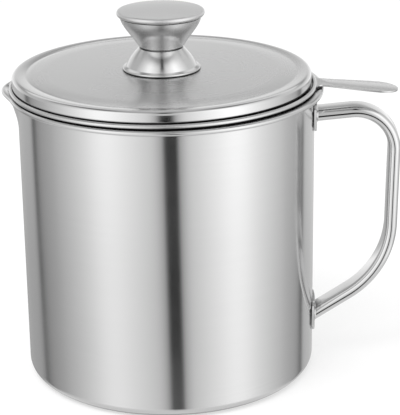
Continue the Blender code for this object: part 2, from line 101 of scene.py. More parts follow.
class Wire:
    """An output socket of a node tree, on which sums are written as Python expressions."""

    def __init__(self, graph: "Graph", socket: bpy.types.NodeSocket) -> None:
        """Wrap a socket of a graph."""
        self.graph = graph
        self.socket = socket

    def __add__(self, other: Value) -> "Wire":
        """Sum of two values."""
        return self.graph.math("ADD", self, other)

    def __sub__(self, other: Value) -> "Wire":
        """Difference of two values."""
        return self.graph.math("SUBTRACT", self, other)

    def __rsub__(self, other: Value) -> "Wire":
        """Difference with the plain number on the left."""
        return self.graph.math("SUBTRACT", other, self)

    def __mul__(self, other: Value) -> "Wire":
        """Product of two values."""
        return self.graph.math("MULTIPLY", self, other)

    def __truediv__(self, other: Value) -> "Wire":
        """Quotient of two values."""
        return self.graph.math("DIVIDE", self, other)

    def __rtruediv__(self, other: Value) -> "Wire":
        """Quotient with the plain number on top."""
        return self.graph.math("DIVIDE", other, self)

    __radd__ = __add__
    __rmul__ = __mul__

    def largest(self, other: Value) -> "Wire":
        """Larger of two values."""
        return self.graph.math("MAXIMUM", self, other)

    def smallest(self, other: Value) -> "Wire":
        """Smaller of two values."""
        return self.graph.math("MINIMUM", self, other)

    def size(self) -> "Wire":
        """Value without its sign."""
        return self.graph.math("ABSOLUTE", self)

    def step(self, start: Value, end: Value) -> "Wire":
        """Smooth step of the value.

        Args:
            start: Value at which the step begins to rise from 0.
            end: Value at which it has reached 1.

        Returns:
            The step's height.
        """
        settings = {"interpolation_type": "SMOOTHSTEP"}
        inputs = {"Value": self, "From Min": start, "From Max": end}
        return self.graph.node("ShaderNodeMapRange", settings, inputs, "Result")


class Graph:
    """Node tree of a material or of the world."""

    def __init__(self, tree: bpy.types.NodeTree) -> None:
        """Start an empty tree."""
        self.tree = tree
        self.tree.nodes.clear()

    def node(self, kind: str, settings: dict, inputs: dict, output: str | None = None) -> Wire:
        """Add a node.

        Args:
            kind: Node type.
            settings: Properties of the node, which are set before its sockets.
            inputs: Values or wires by socket name or identifier.
            output: Name or identifier of the output wanted, the first one if left out.

        Returns:
            The output wanted.
        """
        added = self.tree.nodes.new(kind)
        for name, value in settings.items():
            if name == "stops":
                self.fill(added.color_ramp, value)
            else:
                setattr(added, name, value)
        for name, value in inputs.items():
            socket = self.socket(added.inputs, name)
            if isinstance(value, Wire):
                self.tree.links.new(value.socket, socket)
            else:
                socket.default_value = value
        found = self.socket(added.outputs, output) if output else next(iter(added.outputs), None)
        return Wire(self, found)

    @staticmethod
    def fill(ramp: bpy.types.ColorRamp, stops: Sequence[Pair]) -> None:
        """Give a ramp its stops.

        Args:
            ramp: The ramp.
            stops: Places from 0 to 1, each with its shade of grey.
        """
        while len(ramp.elements) < len(stops):
            ramp.elements.new(1.0)
        for element, (place, shade) in zip(ramp.elements, stops):
            element.position = place
            element.color = grey(shade)

    @staticmethod
    def socket(sockets: Iterable[bpy.types.NodeSocket], name: str) -> bpy.types.NodeSocket:
        """Find a socket of a node.

        Args:
            sockets: The node's inputs or outputs.
            name: Identifier of the socket or, failing that, its name.

        Returns:
            The socket.
        """
        listed = list(sockets)
        exact = [item for item in listed if item.identifier == name]
        return (exact or [item for item in listed if item.name == name])[0]

    def math(self, operation: str, first: Value, second: Value = 0.0) -> Wire:
        """Add a Math node.

        Args:
            operation: What it does.
            first: Upper value.
            second: Lower value.

        Returns:
            Its result.
        """
        inputs = {"Value": first, "Value_001": second}
        return self.node("ShaderNodeMath", {"operation": operation}, inputs)

    def blend(self, factor: Value, first: Value, second: Value) -> Wire:
        """Mix two colours.

        Args:
            factor: Share of the second colour.
            first: Colour at 0.
            second: Colour at 1.

        Returns:
            The mixed colour.
        """
        inputs = {"Factor_Float": factor, "A_Color": first, "B_Color": second}
        return self.node("ShaderNodeMix", {"data_type": "RGBA"}, inputs, "Result_Color")

    def noise(self, vector: Wire, scale: float, detail: float, level: Value = 0.0) -> Wire:
        """Add noise.

        Args:
            vector: Coordinates.
            scale: Cells per unit of the coordinates.
            detail: Octaves.
            level: Fourth coordinate.

        Returns:
            A value round one half.
        """
        inputs = {"Vector": vector, "Scale": scale, "Detail": detail, "W": level}
        return self.node("ShaderNodeTexNoise", {"noise_dimensions": "4D"}, inputs, "Fac")


# Finishes


@dataclass(frozen=True)
class Steel:
    """Stainless steel with the fine lines that turning, drawing or polishing left on it, and painted shade
    in its grooves and crevices.

    Attributes:
        name: Name of the material.
        slot: Material slot of the record that it stands for.
        shade: Grey of clean metal.
        roughness: Mean roughness.
        directional: How much more the reflections spread across the lines than along them.
        line_pitch: Distance between lines.
        line_depth: Depth of the lines.
        line_shade: How much darker the deepest lines are, as a share.
        line_length: Distance along a line over which it fades into others.
        line_edges: Heights of the lines between which the metal goes from dark to clean.
        smudge: How much the roughness changes from place to place.
        line_smudge: Share of it that follows the lines.
        octaves: Octaves of the noise behind lines and patches.
        patch: Size of the patches that the rest follows.
        patch_level: Place of those patches in the noise.
        patch_smudge: Share of it that follows the patches.
        lengthwise: True where the lines run along a bent bar in the XZ plane, not round the Z axis.
        quarter: Share of a turn by which the spread is turned, to stand across the lines.
        bright_from: Radius outside which the metal is polished, 0 where there is none.
        bright_blend: Half the width over which the polish begins.
        bright_roughness: Roughness there.
        crevice_shade: How much painted shade darkens the metal deep in a groove or crevice, as a share.
        groove: Reach of the ambient occlusion that paints that shade.
        shade_edges: Open shares between which the painted shade fades out to clean metal.
    """

    name: str
    slot: Slot
    shade: float
    roughness: float
    directional: float = 0.0
    line_pitch: float = 0.25 * MM
    line_depth: float = 0.0006 * MM
    line_shade: float = 0.025
    line_length: float = 60 * MM
    line_edges: Pair = (0.25, 0.75)
    smudge: float = 0.03
    line_smudge: float = 0.6
    octaves: float = 2.0
    patch: float = 22 * MM
    patch_level: float = 3.7
    patch_smudge: float = 2.0
    lengthwise: bool = False
    quarter: float = 0.25
    bright_from: float = 0.0
    bright_blend: float = 1.5 * MM
    bright_roughness: float = 0.1
    crevice_shade: float = 0.5
    groove: float = 3 * MM
    shade_edges: Pair = (0.2, 0.8)

    def material(self) -> bpy.types.Material:
        """Return the material, made at its first use."""
        return bpy.data.materials.get(self.name) or self.make()

    def make(self) -> bpy.types.Material:
        """Build the material's nodes.

        Returns:
            The new material.
        """
        made = bpy.data.materials.new(self.name)
        made.use_nodes = True
        graph = Graph(made.node_tree)
        place = graph.node("ShaderNodeTexCoord", {}, {}, "Object")
        radius = self.radius(graph, place)
        lines = self.lines(graph, place, radius)
        relief = {"Strength": 1.0, "Distance": self.line_depth, "Height": lines}
        inputs = {
            "Base Color": self.colour(graph, lines),
            "Roughness": self.rough(graph, place, radius, lines),
            "Metallic": 1.0,
            "Anisotropic": self.directional,
            "Anisotropic Rotation": self.quarter if self.directional else 0.0,
            "Normal": graph.node("ShaderNodeBump", {}, relief, "Normal"),
        }
        shader = graph.node("ShaderNodeBsdfPrincipled", {}, inputs, "BSDF")
        graph.node("ShaderNodeOutputMaterial", {}, {"Surface": shader})
        return made

    def colour(self, graph: Graph, lines: Wire) -> Wire:
        """Colour of the metal, darker in the lines, with painted shade deep in a groove, taken from ambient
        occlusion.

        Args:
            graph: Node tree to add to.
            lines: Height of the lines.

        Returns:
            The colour.
        """
        worn = grey(self.shade * (1.0 - self.line_shade))
        crevice_shaded = grey(self.shade * (1.0 - self.crevice_shade))
        metal = graph.blend(lines.step(*self.line_edges), worn, grey(self.shade))
        # Painted shade: ambient occlusion darkens the colour in grooves and crevices, where shade falls.
        open_share = graph.node("ShaderNodeAmbientOcclusion", {}, {"Distance": self.groove}, "AO")
        return graph.blend(open_share.step(*self.shade_edges), crevice_shaded, metal)

    def rough(self, graph: Graph, place: Wire, radius: Wire, lines: Wire) -> Wire:
        """Roughness of the metal, uneven by lines and patches.

        Args:
            graph: Node tree to add to.
            place: Object coordinates.
            radius: Their distance from the axis.
            lines: Height of the lines.

        Returns:
            The roughness.
        """
        patches = graph.noise(place, 1.0 / self.patch, self.octaves, self.patch_level)
        rough = self.roughness + (lines - 0.5) * (self.smudge * self.line_smudge)
        rough = rough + (patches - 0.5) * (self.smudge * self.patch_smudge)
        if self.bright_from:
            bright = radius.step(self.bright_from - self.bright_blend, self.bright_from + self.bright_blend)
            rough = rough + bright * (self.bright_roughness - self.roughness)
        return rough

    @staticmethod
    def radius(graph: Graph, place: Wire) -> Wire:
        """Distance from the Z axis.

        Args:
            graph: Node tree to add to.
            place: Object coordinates.

        Returns:
            Their distance from the axis.
        """
        inputs = {"Vector": place, "Vector_001": (1.0, 1.0, 0.0)}
        flat = graph.node("ShaderNodeVectorMath", {"operation": "MULTIPLY"}, inputs, "Vector")
        return graph.node("ShaderNodeVectorMath", {"operation": "LENGTH"}, {"Vector": flat}, "Value")

    def lines(self, graph: Graph, place: Wire, radius: Wire) -> Wire:
        """Fine lines, closed round the axis or along the bar.

        Args:
            graph: Node tree to add to.
            place: Object coordinates.
            radius: Their distance from the axis.

        Returns:
            Height of the lines, round one half.
        """
        split = {axis: graph.node("ShaderNodeSeparateXYZ", {}, {"Vector": place}, axis) for axis in "XYZ"}
        fine = 1.0 / self.line_pitch
        slow = 1.0 / self.line_length
        if self.lengthwise:
            inputs = {"X": split["X"] * slow, "Y": split["Y"] * fine, "Z": split["Z"] * slow}
            return graph.noise(graph.node("ShaderNodeCombineXYZ", {}, inputs), 1.0, self.octaves)
        inputs = {"X": radius * fine, "Y": split["Y"] * slow, "Z": split["X"] * slow}
        drawn = graph.node("ShaderNodeCombineXYZ", {}, inputs)
        return graph.noise(drawn, 1.0, self.octaves, split["Z"] * fine)


# Each finish darkens its colour in crevices by ambient occlusion, which is painted shade; it is strongest
# on the lid, the wall and the flange.
BRUSHED = Steel(
    "brushed_wall_steel", Slot.BRUSHED, 0.68, 0.14, directional=1.0, line_pitch=0.2 * MM, crevice_shade=0.8
)
SATIN = Steel("satin_pressed_steel", Slot.SATIN, 0.68, 0.25, line_pitch=0.15 * MM, crevice_shade=0.7)
LID_STEEL = Steel(
    "satin_lid_steel",
    Slot.SATIN,
    0.7,
    0.27,
    line_pitch=0.15 * MM,
    bright_from=55 * MM,
    bright_roughness=0.13,
    crevice_shade=0.9,
)
CAP_STEEL = Steel("satin_cap_steel", Slot.SATIN, 0.72, 0.4, line_pitch=0.15 * MM)
POLISHED = Steel("polished_tube_steel", Slot.POLISHED, 0.70, 0.1, line_depth=0.0004 * MM, lengthwise=True)
KNOB_STEEL = Steel("polished_knob_steel", Slot.POLISHED, 0.68, 0.16, line_depth=0.0004 * MM)
WIRE = Steel("drawn_wire_steel", Slot.WOVEN, 0.62, 0.32, line_pitch=0.12 * MM)
PLATED = Steel("plated_fastener_steel", Slot.PLATED, 0.66, 0.22, line_pitch=0.15 * MM)


# Mesh helpers


def spread(start: float, end: float, steps: int) -> list[float]:
    """Evenly spaced values.

    Args:
        start: First value.
        end: Last value.
        steps: Number of intervals.

    Returns:
        The values, both ends included.
    """
    return [start + (end - start) * step / steps for step in range(steps + 1)]


def arc(centre: Pair, radius: float, start: float, end: float, steps: int) -> Outline:
    """Points round a centre.

    Args:
        centre: Centre of the arc.
        radius: Its radius.
        start: First angle, in degrees.
        end: Last angle, in degrees.
        steps: Number of segments.

    Returns:
        The points, both ends included.
    """
    angles = [math.radians(angle) for angle in spread(start, end, steps)]
    return [(centre[0] + radius * math.cos(a), centre[1] + radius * math.sin(a)) for a in angles]


def ease(share: float) -> float:
    """Smooth step of a share that is first kept between 0 and 1."""
    share = min(max(share, 0.0), 1.0)
    return share * share * (3.0 - 2.0 * share)


def swept(
    start: Pair, end: Pair, leaving: float, arriving: float, steps: int
) -> Outline:
    """Points of a smooth curve with a given slope at either end.

    Args:
        start: First point, as (radius, height).
        end: Last point.
        leaving: Slope at the first point.
        arriving: Slope at the last point.
        steps: Number of segments.

    Returns:
        The points, both ends included.
    """
    span = end[0] - start[0]
    points = []
    for share in spread(0.0, 1.0, steps):
        height = start[1] + (end[1] - start[1]) * ease(share)
        height += span * (leaving * share * (1.0 - share) ** 2 - arriving * share**2 * (1.0 - share))
        points.append((start[0] + span * share, height))
    return points


@dataclass
class Shape:
    """Vertices and faces on their way to becoming a piece.

    Attributes:
        points: Vertices.
        faces: Vertex numbers of each face.
    """

    points: list[Point] = field(default_factory=list)
    faces: list[tuple[int, ...]] = field(default_factory=list)

    def turn(self, outline: Outline, steps: int, closed: bool, pull: Pull | None = None) -> "Shape":
        """Turn an outline about the Z axis.

        Args:
            outline: Points as (radius, height). A point on the axis becomes a pole.
            steps: Number of segments round the axis.
            closed: True where the outline's last point joins its first.
            pull: Outward pull at a bearing, height and radius, for a shape that isn't round all over.

        Returns:
            This shape.
        """
        self.chain([self.ring(radius, height, steps, pull) for radius, height in outline], closed)
        return self

    def ring(self, radius: float, height: float, steps: int, pull: Pull | None) -> list[int]:
        """Add a ring of vertices, or a pole where the radius is 0.

        Args:
            radius: Radius of the ring.
            height: Its height.
            steps: Number of vertices.
            pull: Outward pull at a bearing, height and radius.

        Returns:
            Numbers of the vertices.
        """
        first = len(self.points)
        if radius == 0.0:
            self.points.append((0.0, 0.0, height))
            return [first]
        for step in range(steps):
            bearing = math.tau * step / steps
            reach = radius + (pull(bearing, height, radius) if pull else 0.0)
            self.points.append((reach * math.cos(bearing), reach * math.sin(bearing), height))
        return list(range(first, first + steps))

    def join(self, lower: list[int], upper: list[int]) -> None:
        """Join two closed loops of vertices, of which either may be a pole, by faces.

        Args:
            lower: Vertex numbers of one loop.
            upper: Vertex numbers of the other.
        """
        steps = max(len(lower), len(upper))
        for step in range(steps):
            after = (step + 1) % steps
            corners = (
                lower[step % len(lower)],
                lower[after % len(lower)],
                upper[after % len(upper)],
                upper[step % len(upper)],
            )
            distinct = tuple(dict.fromkeys(corners))
            if len(distinct) > 2:
                self.faces.append(distinct)

    def loop(self, points: Iterable[Sequence[float]]) -> list[int]:
        """Add vertices.

        Args:
            points: Their places.

        Returns:
            Their numbers.
        """
        first = len(self.points)
        self.points.extend(tuple(point) for point in points)
        return list(range(first, len(self.points)))

    def add(self, other: "Shape") -> None:
        """Take in another shape's vertices and faces.

        Args:
            other: The other shape.
        """
        first = len(self.points)
        self.points.extend(other.points)
        self.faces.extend(tuple(number + first for number in face) for face in other.faces)

    def chain(self, loops: list[list[int]], closed: bool = False, capped: bool = False) -> None:
        """Join each loop of vertices to the next.

        Args:
            loops: Vertex numbers of each loop.
            closed: True where the last loop joins the first.
            capped: True where a face closes either end.
        """
        for first, second in zip(loops, loops[1:] + loops[:1] if closed else loops[1:]):
            self.join(first, second)
        if capped:
            self.faces += [tuple(loops[0]), tuple(loops[-1])]


@dataclass
class Piece:
    """A mesh object that is part of the pot.

    Attributes:
        name: Name of the object.
        shape: Its vertices and faces.
        finish: Its finish.
        body: Body that it rides on.
        nodes: CAD nodes that it stands for.
        shift: How far it is moved along X before it rides.
        sharp: Angle between faces, in degrees, above which an edge stays sharp.
    """

    name: str
    shape: Shape
    finish: Steel
    body: Body
    nodes: tuple[str, ...] = ()
    shift: float = 0.0
    sharp: float = 32.0

    def mesh(self) -> bpy.types.Mesh:
        """Build the mesh with its faces turned outward.

        Returns:
            The mesh.
        """
        made = bpy.data.meshes.new(self.name)
        made.from_pydata(self.shape.points, [], self.shape.faces)
        builder = bmesh.new()
        builder.from_mesh(made)
        bmesh.ops.translate(builder, verts=builder.verts, vec=(self.shift, 0.0, 0.0))
        bmesh.ops.recalc_face_normals(builder, faces=builder.faces)
        builder.to_mesh(made)
        builder.free()
        return made

    def place(self) -> None:
        """Make the object, with its finish, on its body."""
        self.dress(bpy.data.objects.new(self.name, self.mesh()))

    def dress(self, item: bpy.types.Object) -> None:
        """Give an object this piece's finish and body.

        Args:
            item: The object, with its mesh in place.
        """
        if item.name not in bpy.context.scene.collection.objects:
            bpy.context.scene.collection.objects.link(item)
        item.data.materials.clear()
        item.data.materials.append(self.finish.material())
        item.data.shade_smooth()
        item.data.set_sharp_from_angle(angle=math.radians(self.sharp))
        if self.nodes:
            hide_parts(*self.nodes)
        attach(item, self.body.value)
        LOG.info("%s: %d faces on %s", item.name, len(item.data.polygons), self.body.value)


def built(name: str, builder: bmesh.types.BMesh) -> bpy.types.Object:
    """Turn an edited mesh into an object, and free it.

    Args:
        name: Name of the object.
        builder: The edited mesh.

    Returns:
        The object.
    """
    mesh = bpy.data.meshes.new(name)
    builder.to_mesh(mesh)
    builder.free()
    return bpy.data.objects.new(name, mesh)


def combined(first: bpy.types.Object, second: bpy.types.Object, join: Join) -> bpy.types.Object:
    """Join or cut one object by another with a Boolean, and remove the other.

    Args:
        first: The object that stays.
        second: The object that is joined to it or cut from it.
        join: Which of the two.

    Returns:
        The first object with its new mesh.
    """
    for item in (first, second):
        bpy.context.scene.collection.objects.link(item)
    cut = first.modifiers.new(join.name, "BOOLEAN")
    cut.operation = join.value
    cut.solver = "EXACT"
    cut.object = second
    bpy.context.view_layer.update()
    evaluated = first.evaluated_get(bpy.context.evaluated_depsgraph_get())
    result = bpy.data.meshes.new_from_object(evaluated)
    first.modifiers.clear()
    first.data = result
    bpy.data.objects.remove(second, do_unlink=True)
    return first


# The pot


@dataclass
class Cup:
    """Deep-drawn cup with a rolled rim and a pouring lip."""

    radius: float = 60 * MM
    height: float = 119.5 * MM
    wall: float = 0.7 * MM
    corner: float = 4.5 * MM
    rim_overhang: float = 3.6 * MM
    rim_thickness: float = 1.9 * MM
    rim_fillet: float = 0.6 * MM
    rim_inner_round: float = 1.2 * MM
    lip_reach: float = 3.0 * MM
    lip_depth: float = 15 * MM
    lip_full_depth: float = 3.5 * MM
    lip_thinning: float = 2.0 * MM
    lip_half_angle: float = math.radians(18)
    lip_rows: int = 20
    corner_steps: int = 12
    inner_corner_steps: int = 10
    fillet_steps: int = 6
    rim_steps: int = 16
    rim_inner_steps: int = 8
    steps: int = 240

    @property
    def bore(self) -> float:
        """Inner radius of the wall."""
        return self.radius - self.wall

    def pull(self, bearing: float, height: float, radius: float) -> float:
        """Outward pull of the pouring lip.

        Args:
            bearing: Angle about Z.
            height: Height above the base.
            radius: Radius of the point that is pulled.

        Returns:
            How far the point is drawn out.
        """
        turn = abs(bearing - math.pi)
        if turn >= self.lip_half_angle:
            return 0.0
        across = math.cos(math.pi / 2 * turn / self.lip_half_angle) ** 2
        start = self.height - self.lip_depth
        out = self.lip_reach * ease((height - start) / (self.lip_depth - self.lip_full_depth))
        if radius < self.radius + self.rim_inner_round:
            out += self.lip_thinning * ease((height - self.height) / self.rim_thickness + 1.0)
        return out * across

    def outline(self) -> Outline:
        """Section of the cup, from the middle of the base and back inside.

        Returns:
            Its points as (radius, height).
        """
        rim_round = self.rim_thickness / 2
        centre = (self.radius - self.corner, self.corner)
        under = self.height - self.rim_thickness
        start = self.height - self.lip_depth
        end = under - self.rim_fillet
        inner_end = self.height - self.rim_inner_round
        inner_rows = spread(start, inner_end, self.lip_rows)[:-1]
        points: Outline = [(0.0, 0.0)]
        points += arc(centre, self.corner, -90, 0, self.corner_steps)
        points += [(self.radius, height) for height in spread(start, end, self.lip_rows)]
        fillet = (self.radius + self.rim_fillet, end)
        points += arc(fillet, self.rim_fillet, 180, 90, self.fillet_steps)[1:]
        edge = (self.radius + self.rim_overhang - rim_round, self.height - rim_round)
        points += arc(edge, rim_round, -90, 90, self.rim_steps)
        inner = (self.bore + self.rim_inner_round, inner_end)
        points += arc(inner, self.rim_inner_round, 90, 180, self.rim_inner_steps)
        points += [(self.bore, height) for height in reversed(inner_rows)]
        points += arc(centre, self.corner - self.wall, 0, -90, self.inner_corner_steps)
        points.append((0.0, self.wall))
        return points

    def build(self) -> None:
        """Make the cup."""
        shape = Shape().turn(self.outline(), self.steps, closed=False, pull=self.pull)
        Piece("drawn_cup", shape, BRUSHED, Body.POT, ("cup_body",)).place()


@dataclass
class Handle:
    """Flat-oval tube bent twice, on two saddle plates, with a weld round each end."""

    cup: Cup
    width: float = 11.6 * MM
    thickness: float = 4.8 * MM
    wall: float = 0.7 * MM
    reach: float = 32.8 * MM
    lean: float = 1.1 * MM
    root_drop: float = 11.6 * MM
    arm_rise: float = 3.2 * MM
    foot: float = 21.3 * MM
    knee_rise: float = 20.0 * MM
    upper_bend: float = 16 * MM
    lower_bend: float = 38 * MM
    plate_thickness: float = 0.8 * MM
    plate_margin: float = 3.4 * MM
    plate_corner: float = 3.0 * MM
    plate_edge: float = 0.2 * MM
    gap: float = 0.3 * MM
    weld: float = 0.55 * MM
    weld_steps: int = 5
    bend_steps: int = 28
    end_steps: int = 14
    plate_corner_steps: int = 12
    plate_edge_steps: int = 3
    plate_steps: int = 16

    @property
    def plate_radius(self) -> float:
        """Radius of the saddle plates' back."""
        return self.cup.radius + self.gap

    @property
    def start(self) -> float:
        """Distance of the tube's ends from the axis."""
        return self.plate_radius + self.plate_thickness + self.gap

    def corners(self) -> list[Vector]:
        """Corners of the tube's centre line.

        Returns:
            The corners as (x, z), from the upper root to the lower one.
        """
        upper = Vector((self.start, self.cup.height - self.root_drop))
        upper_corner = Vector((self.cup.radius + self.reach, upper.y + self.arm_rise))
        lower_corner = Vector((upper_corner.x - self.lean, self.foot + self.knee_rise))
        return [upper, upper_corner, lower_corner, Vector((self.start, self.foot))]

    def path(self) -> list[tuple[Vector, Vector]]:
        """Centre line with its bends rounded.

        Returns:
            Points and directions along it, as (x, z).
        """
        corners = self.corners()
        path = [(corners[0], (corners[1] - corners[0]).normalized())]
        for place, bend in ((1, self.upper_bend), (2, self.lower_bend)):
            towards = (corners[place] - corners[place - 1]).normalized()
            away = (corners[place + 1] - corners[place]).normalized()
            half_turn = towards.angle(away) / 2
            start = corners[place] - towards * bend * math.tan(half_turn)
            centre = corners[place] + (away - towards).normalized() * bend / math.cos(half_turn)
            sign = 1 if towards.cross(away) > 0 else -1
            for step in range(self.bend_steps + 1):
                spin = Matrix.Rotation(sign * 2 * half_turn * step / self.bend_steps, 2)
                path.append((centre + spin @ (start - centre), spin @ towards))
        path.append((corners[3], (corners[3] - corners[2]).normalized()))
        return path

    def section(self, inset: float) -> Outline:
        """Flat-sided oval.

        Args:
            inset: Distance inside the tube's skin.

        Returns:
            Its points as (across, through).
        """
        width = self.width - 2 * inset
        thickness = self.thickness - 2 * inset
        end = (width - thickness) / 2
        right = arc((end, 0.0), thickness / 2, -90, 90, self.end_steps)
        return right + arc((-end, 0.0), thickness / 2, 90, 270, self.end_steps)

    def coped(self, point: Vector, direction: Vector, across: float, through: float, wall: float) -> Point:
        """Point of the tube's skin where it meets a cylinder about Z.

        Args:
            point: Point of the centre line, as (x, z).
            direction: Direction of the centre line there.
            across: Place across the section, along Y.
            through: Place through the section.
            wall: Radius of the cylinder.

        Returns:
            The point.
        """
        spot = point + Vector((-direction.y, direction.x)) * through
        spot = spot + direction * (math.sqrt(wall**2 - across**2) - spot.x) / direction.x
        return (spot.x, across, spot.y)

    def skin(self, shape: Shape, inset: float) -> list[list[int]]:
        """Add one skin of the tube to a shape.

        Args:
            shape: Shape to add to.
            inset: Distance of the skin inside the outer one.

        Returns:
            Vertex numbers of its loops.
        """
        path = self.path()
        loops = []
        for place, (point, direction) in enumerate(path):
            normal = Vector((-direction.y, direction.x))
            loop = []
            for across, through in self.section(inset):
                if place in (0, len(path) - 1):
                    loop.append(self.coped(point, direction, across, through, self.start))
                else:
                    spot = point + normal * through
                    loop.append((spot.x, across, spot.y))
            loops.append(shape.loop(loop))
        shape.chain(loops)
        return loops

    def tube(self) -> None:
        """Make the tube."""
        shape = Shape()
        outer = self.skin(shape, 0.0)
        inner = self.skin(shape, self.wall)
        shape.join(outer[0], inner[0])
        shape.join(outer[-1], inner[-1])
        Piece("handle_bow", shape, POLISHED, Body.POT, ("handle_tube",)).place()

    def saddle(self, name: str, node: str, height: float, slope: float) -> None:
        """Make a saddle plate.

        Args:
            name: Name of the piece.
            node: CAD node that it stands for.
            height: Height of its centre.
            slope: Slope of the arm that stands on it.
        """
        half_width = self.width / 2 + self.plate_margin
        half_height = self.thickness / 2 / math.cos(slope) + self.plate_margin
        straight = half_width - self.plate_corner
        turns = spread(0.0, math.pi / 2, self.plate_corner_steps)
        ends = [straight + self.plate_corner * math.sin(turn) for turn in turns]
        middle = spread(-straight, straight, self.plate_steps)[1:-1]
        shape = Shape()
        columns = []
        for place in [-end for end in reversed(ends)] + middle + ends:
            past = max(abs(place) - straight, 0.0)
            lift = half_height - self.plate_corner + math.sqrt(max(self.plate_corner**2 - past**2, 0.0))
            columns.append(shape.loop(self.plate_column(place, lift, height)))
        shape.chain(columns, capped=True)
        Piece(name, shape, POLISHED, Body.POT, (node,)).place()

    def plate_column(self, place: float, lift: float, height: float) -> list[Point]:
        """Section of a saddle plate, with rounded edges.

        Args:
            place: Place across the plate.
            lift: Half its height there.
            height: Height of its centre.

        Returns:
            The section's points.
        """
        back = self.plate_radius
        edge = self.plate_edge
        front = back + self.plate_thickness - edge
        bearing = place / back
        section = [(back, -lift), (back, lift)]
        section += arc((front, lift - edge), edge, 90, 0, self.plate_edge_steps)
        section += arc((front, edge - lift), edge, 0, -90, self.plate_edge_steps)
        return [(r * math.cos(bearing), r * math.sin(bearing), height + z) for r, z in section]

    def weld_ring(self, name: str, point: Vector, direction: Vector) -> None:
        """Make the hollow-faced weld between a tube's end and its plate.

        Args:
            name: Name of the piece.
            point: Root of the centre line, as (x, z).
            direction: Direction of the centre line there, away from the plate.
        """
        plate = self.plate_radius + self.plate_thickness
        leg = self.weld
        shape = Shape()
        loops = []
        hollow = arc((leg, leg), leg, 180, 270, self.weld_steps)
        for off, rise in hollow + [(0.0, 0.0)]:
            section = self.section(-off)
            loop = [self.coped(point, direction, a, t, plate + rise) for a, t in section]
            loops.append(shape.loop(loop))
        shape.chain(loops, closed=True)
        Piece(name, shape, POLISHED, Body.POT).place()

    def build(self) -> None:
        """Make the handle with its plates and welds."""
        corners = self.corners()
        upper = (corners[1] - corners[0]).normalized()
        lower = (corners[2] - corners[3]).normalized()
        self.tube()
        self.saddle("upper_saddle", "upper_handle_plate", corners[0].y, math.atan2(upper.y, upper.x))
        self.saddle("lower_saddle", "lower_handle_plate", corners[3].y, math.atan2(lower.y, lower.x))
        self.weld_ring("upper_weld", corners[0], upper)
        self.weld_ring("lower_weld", corners[3], lower)


# The strainer


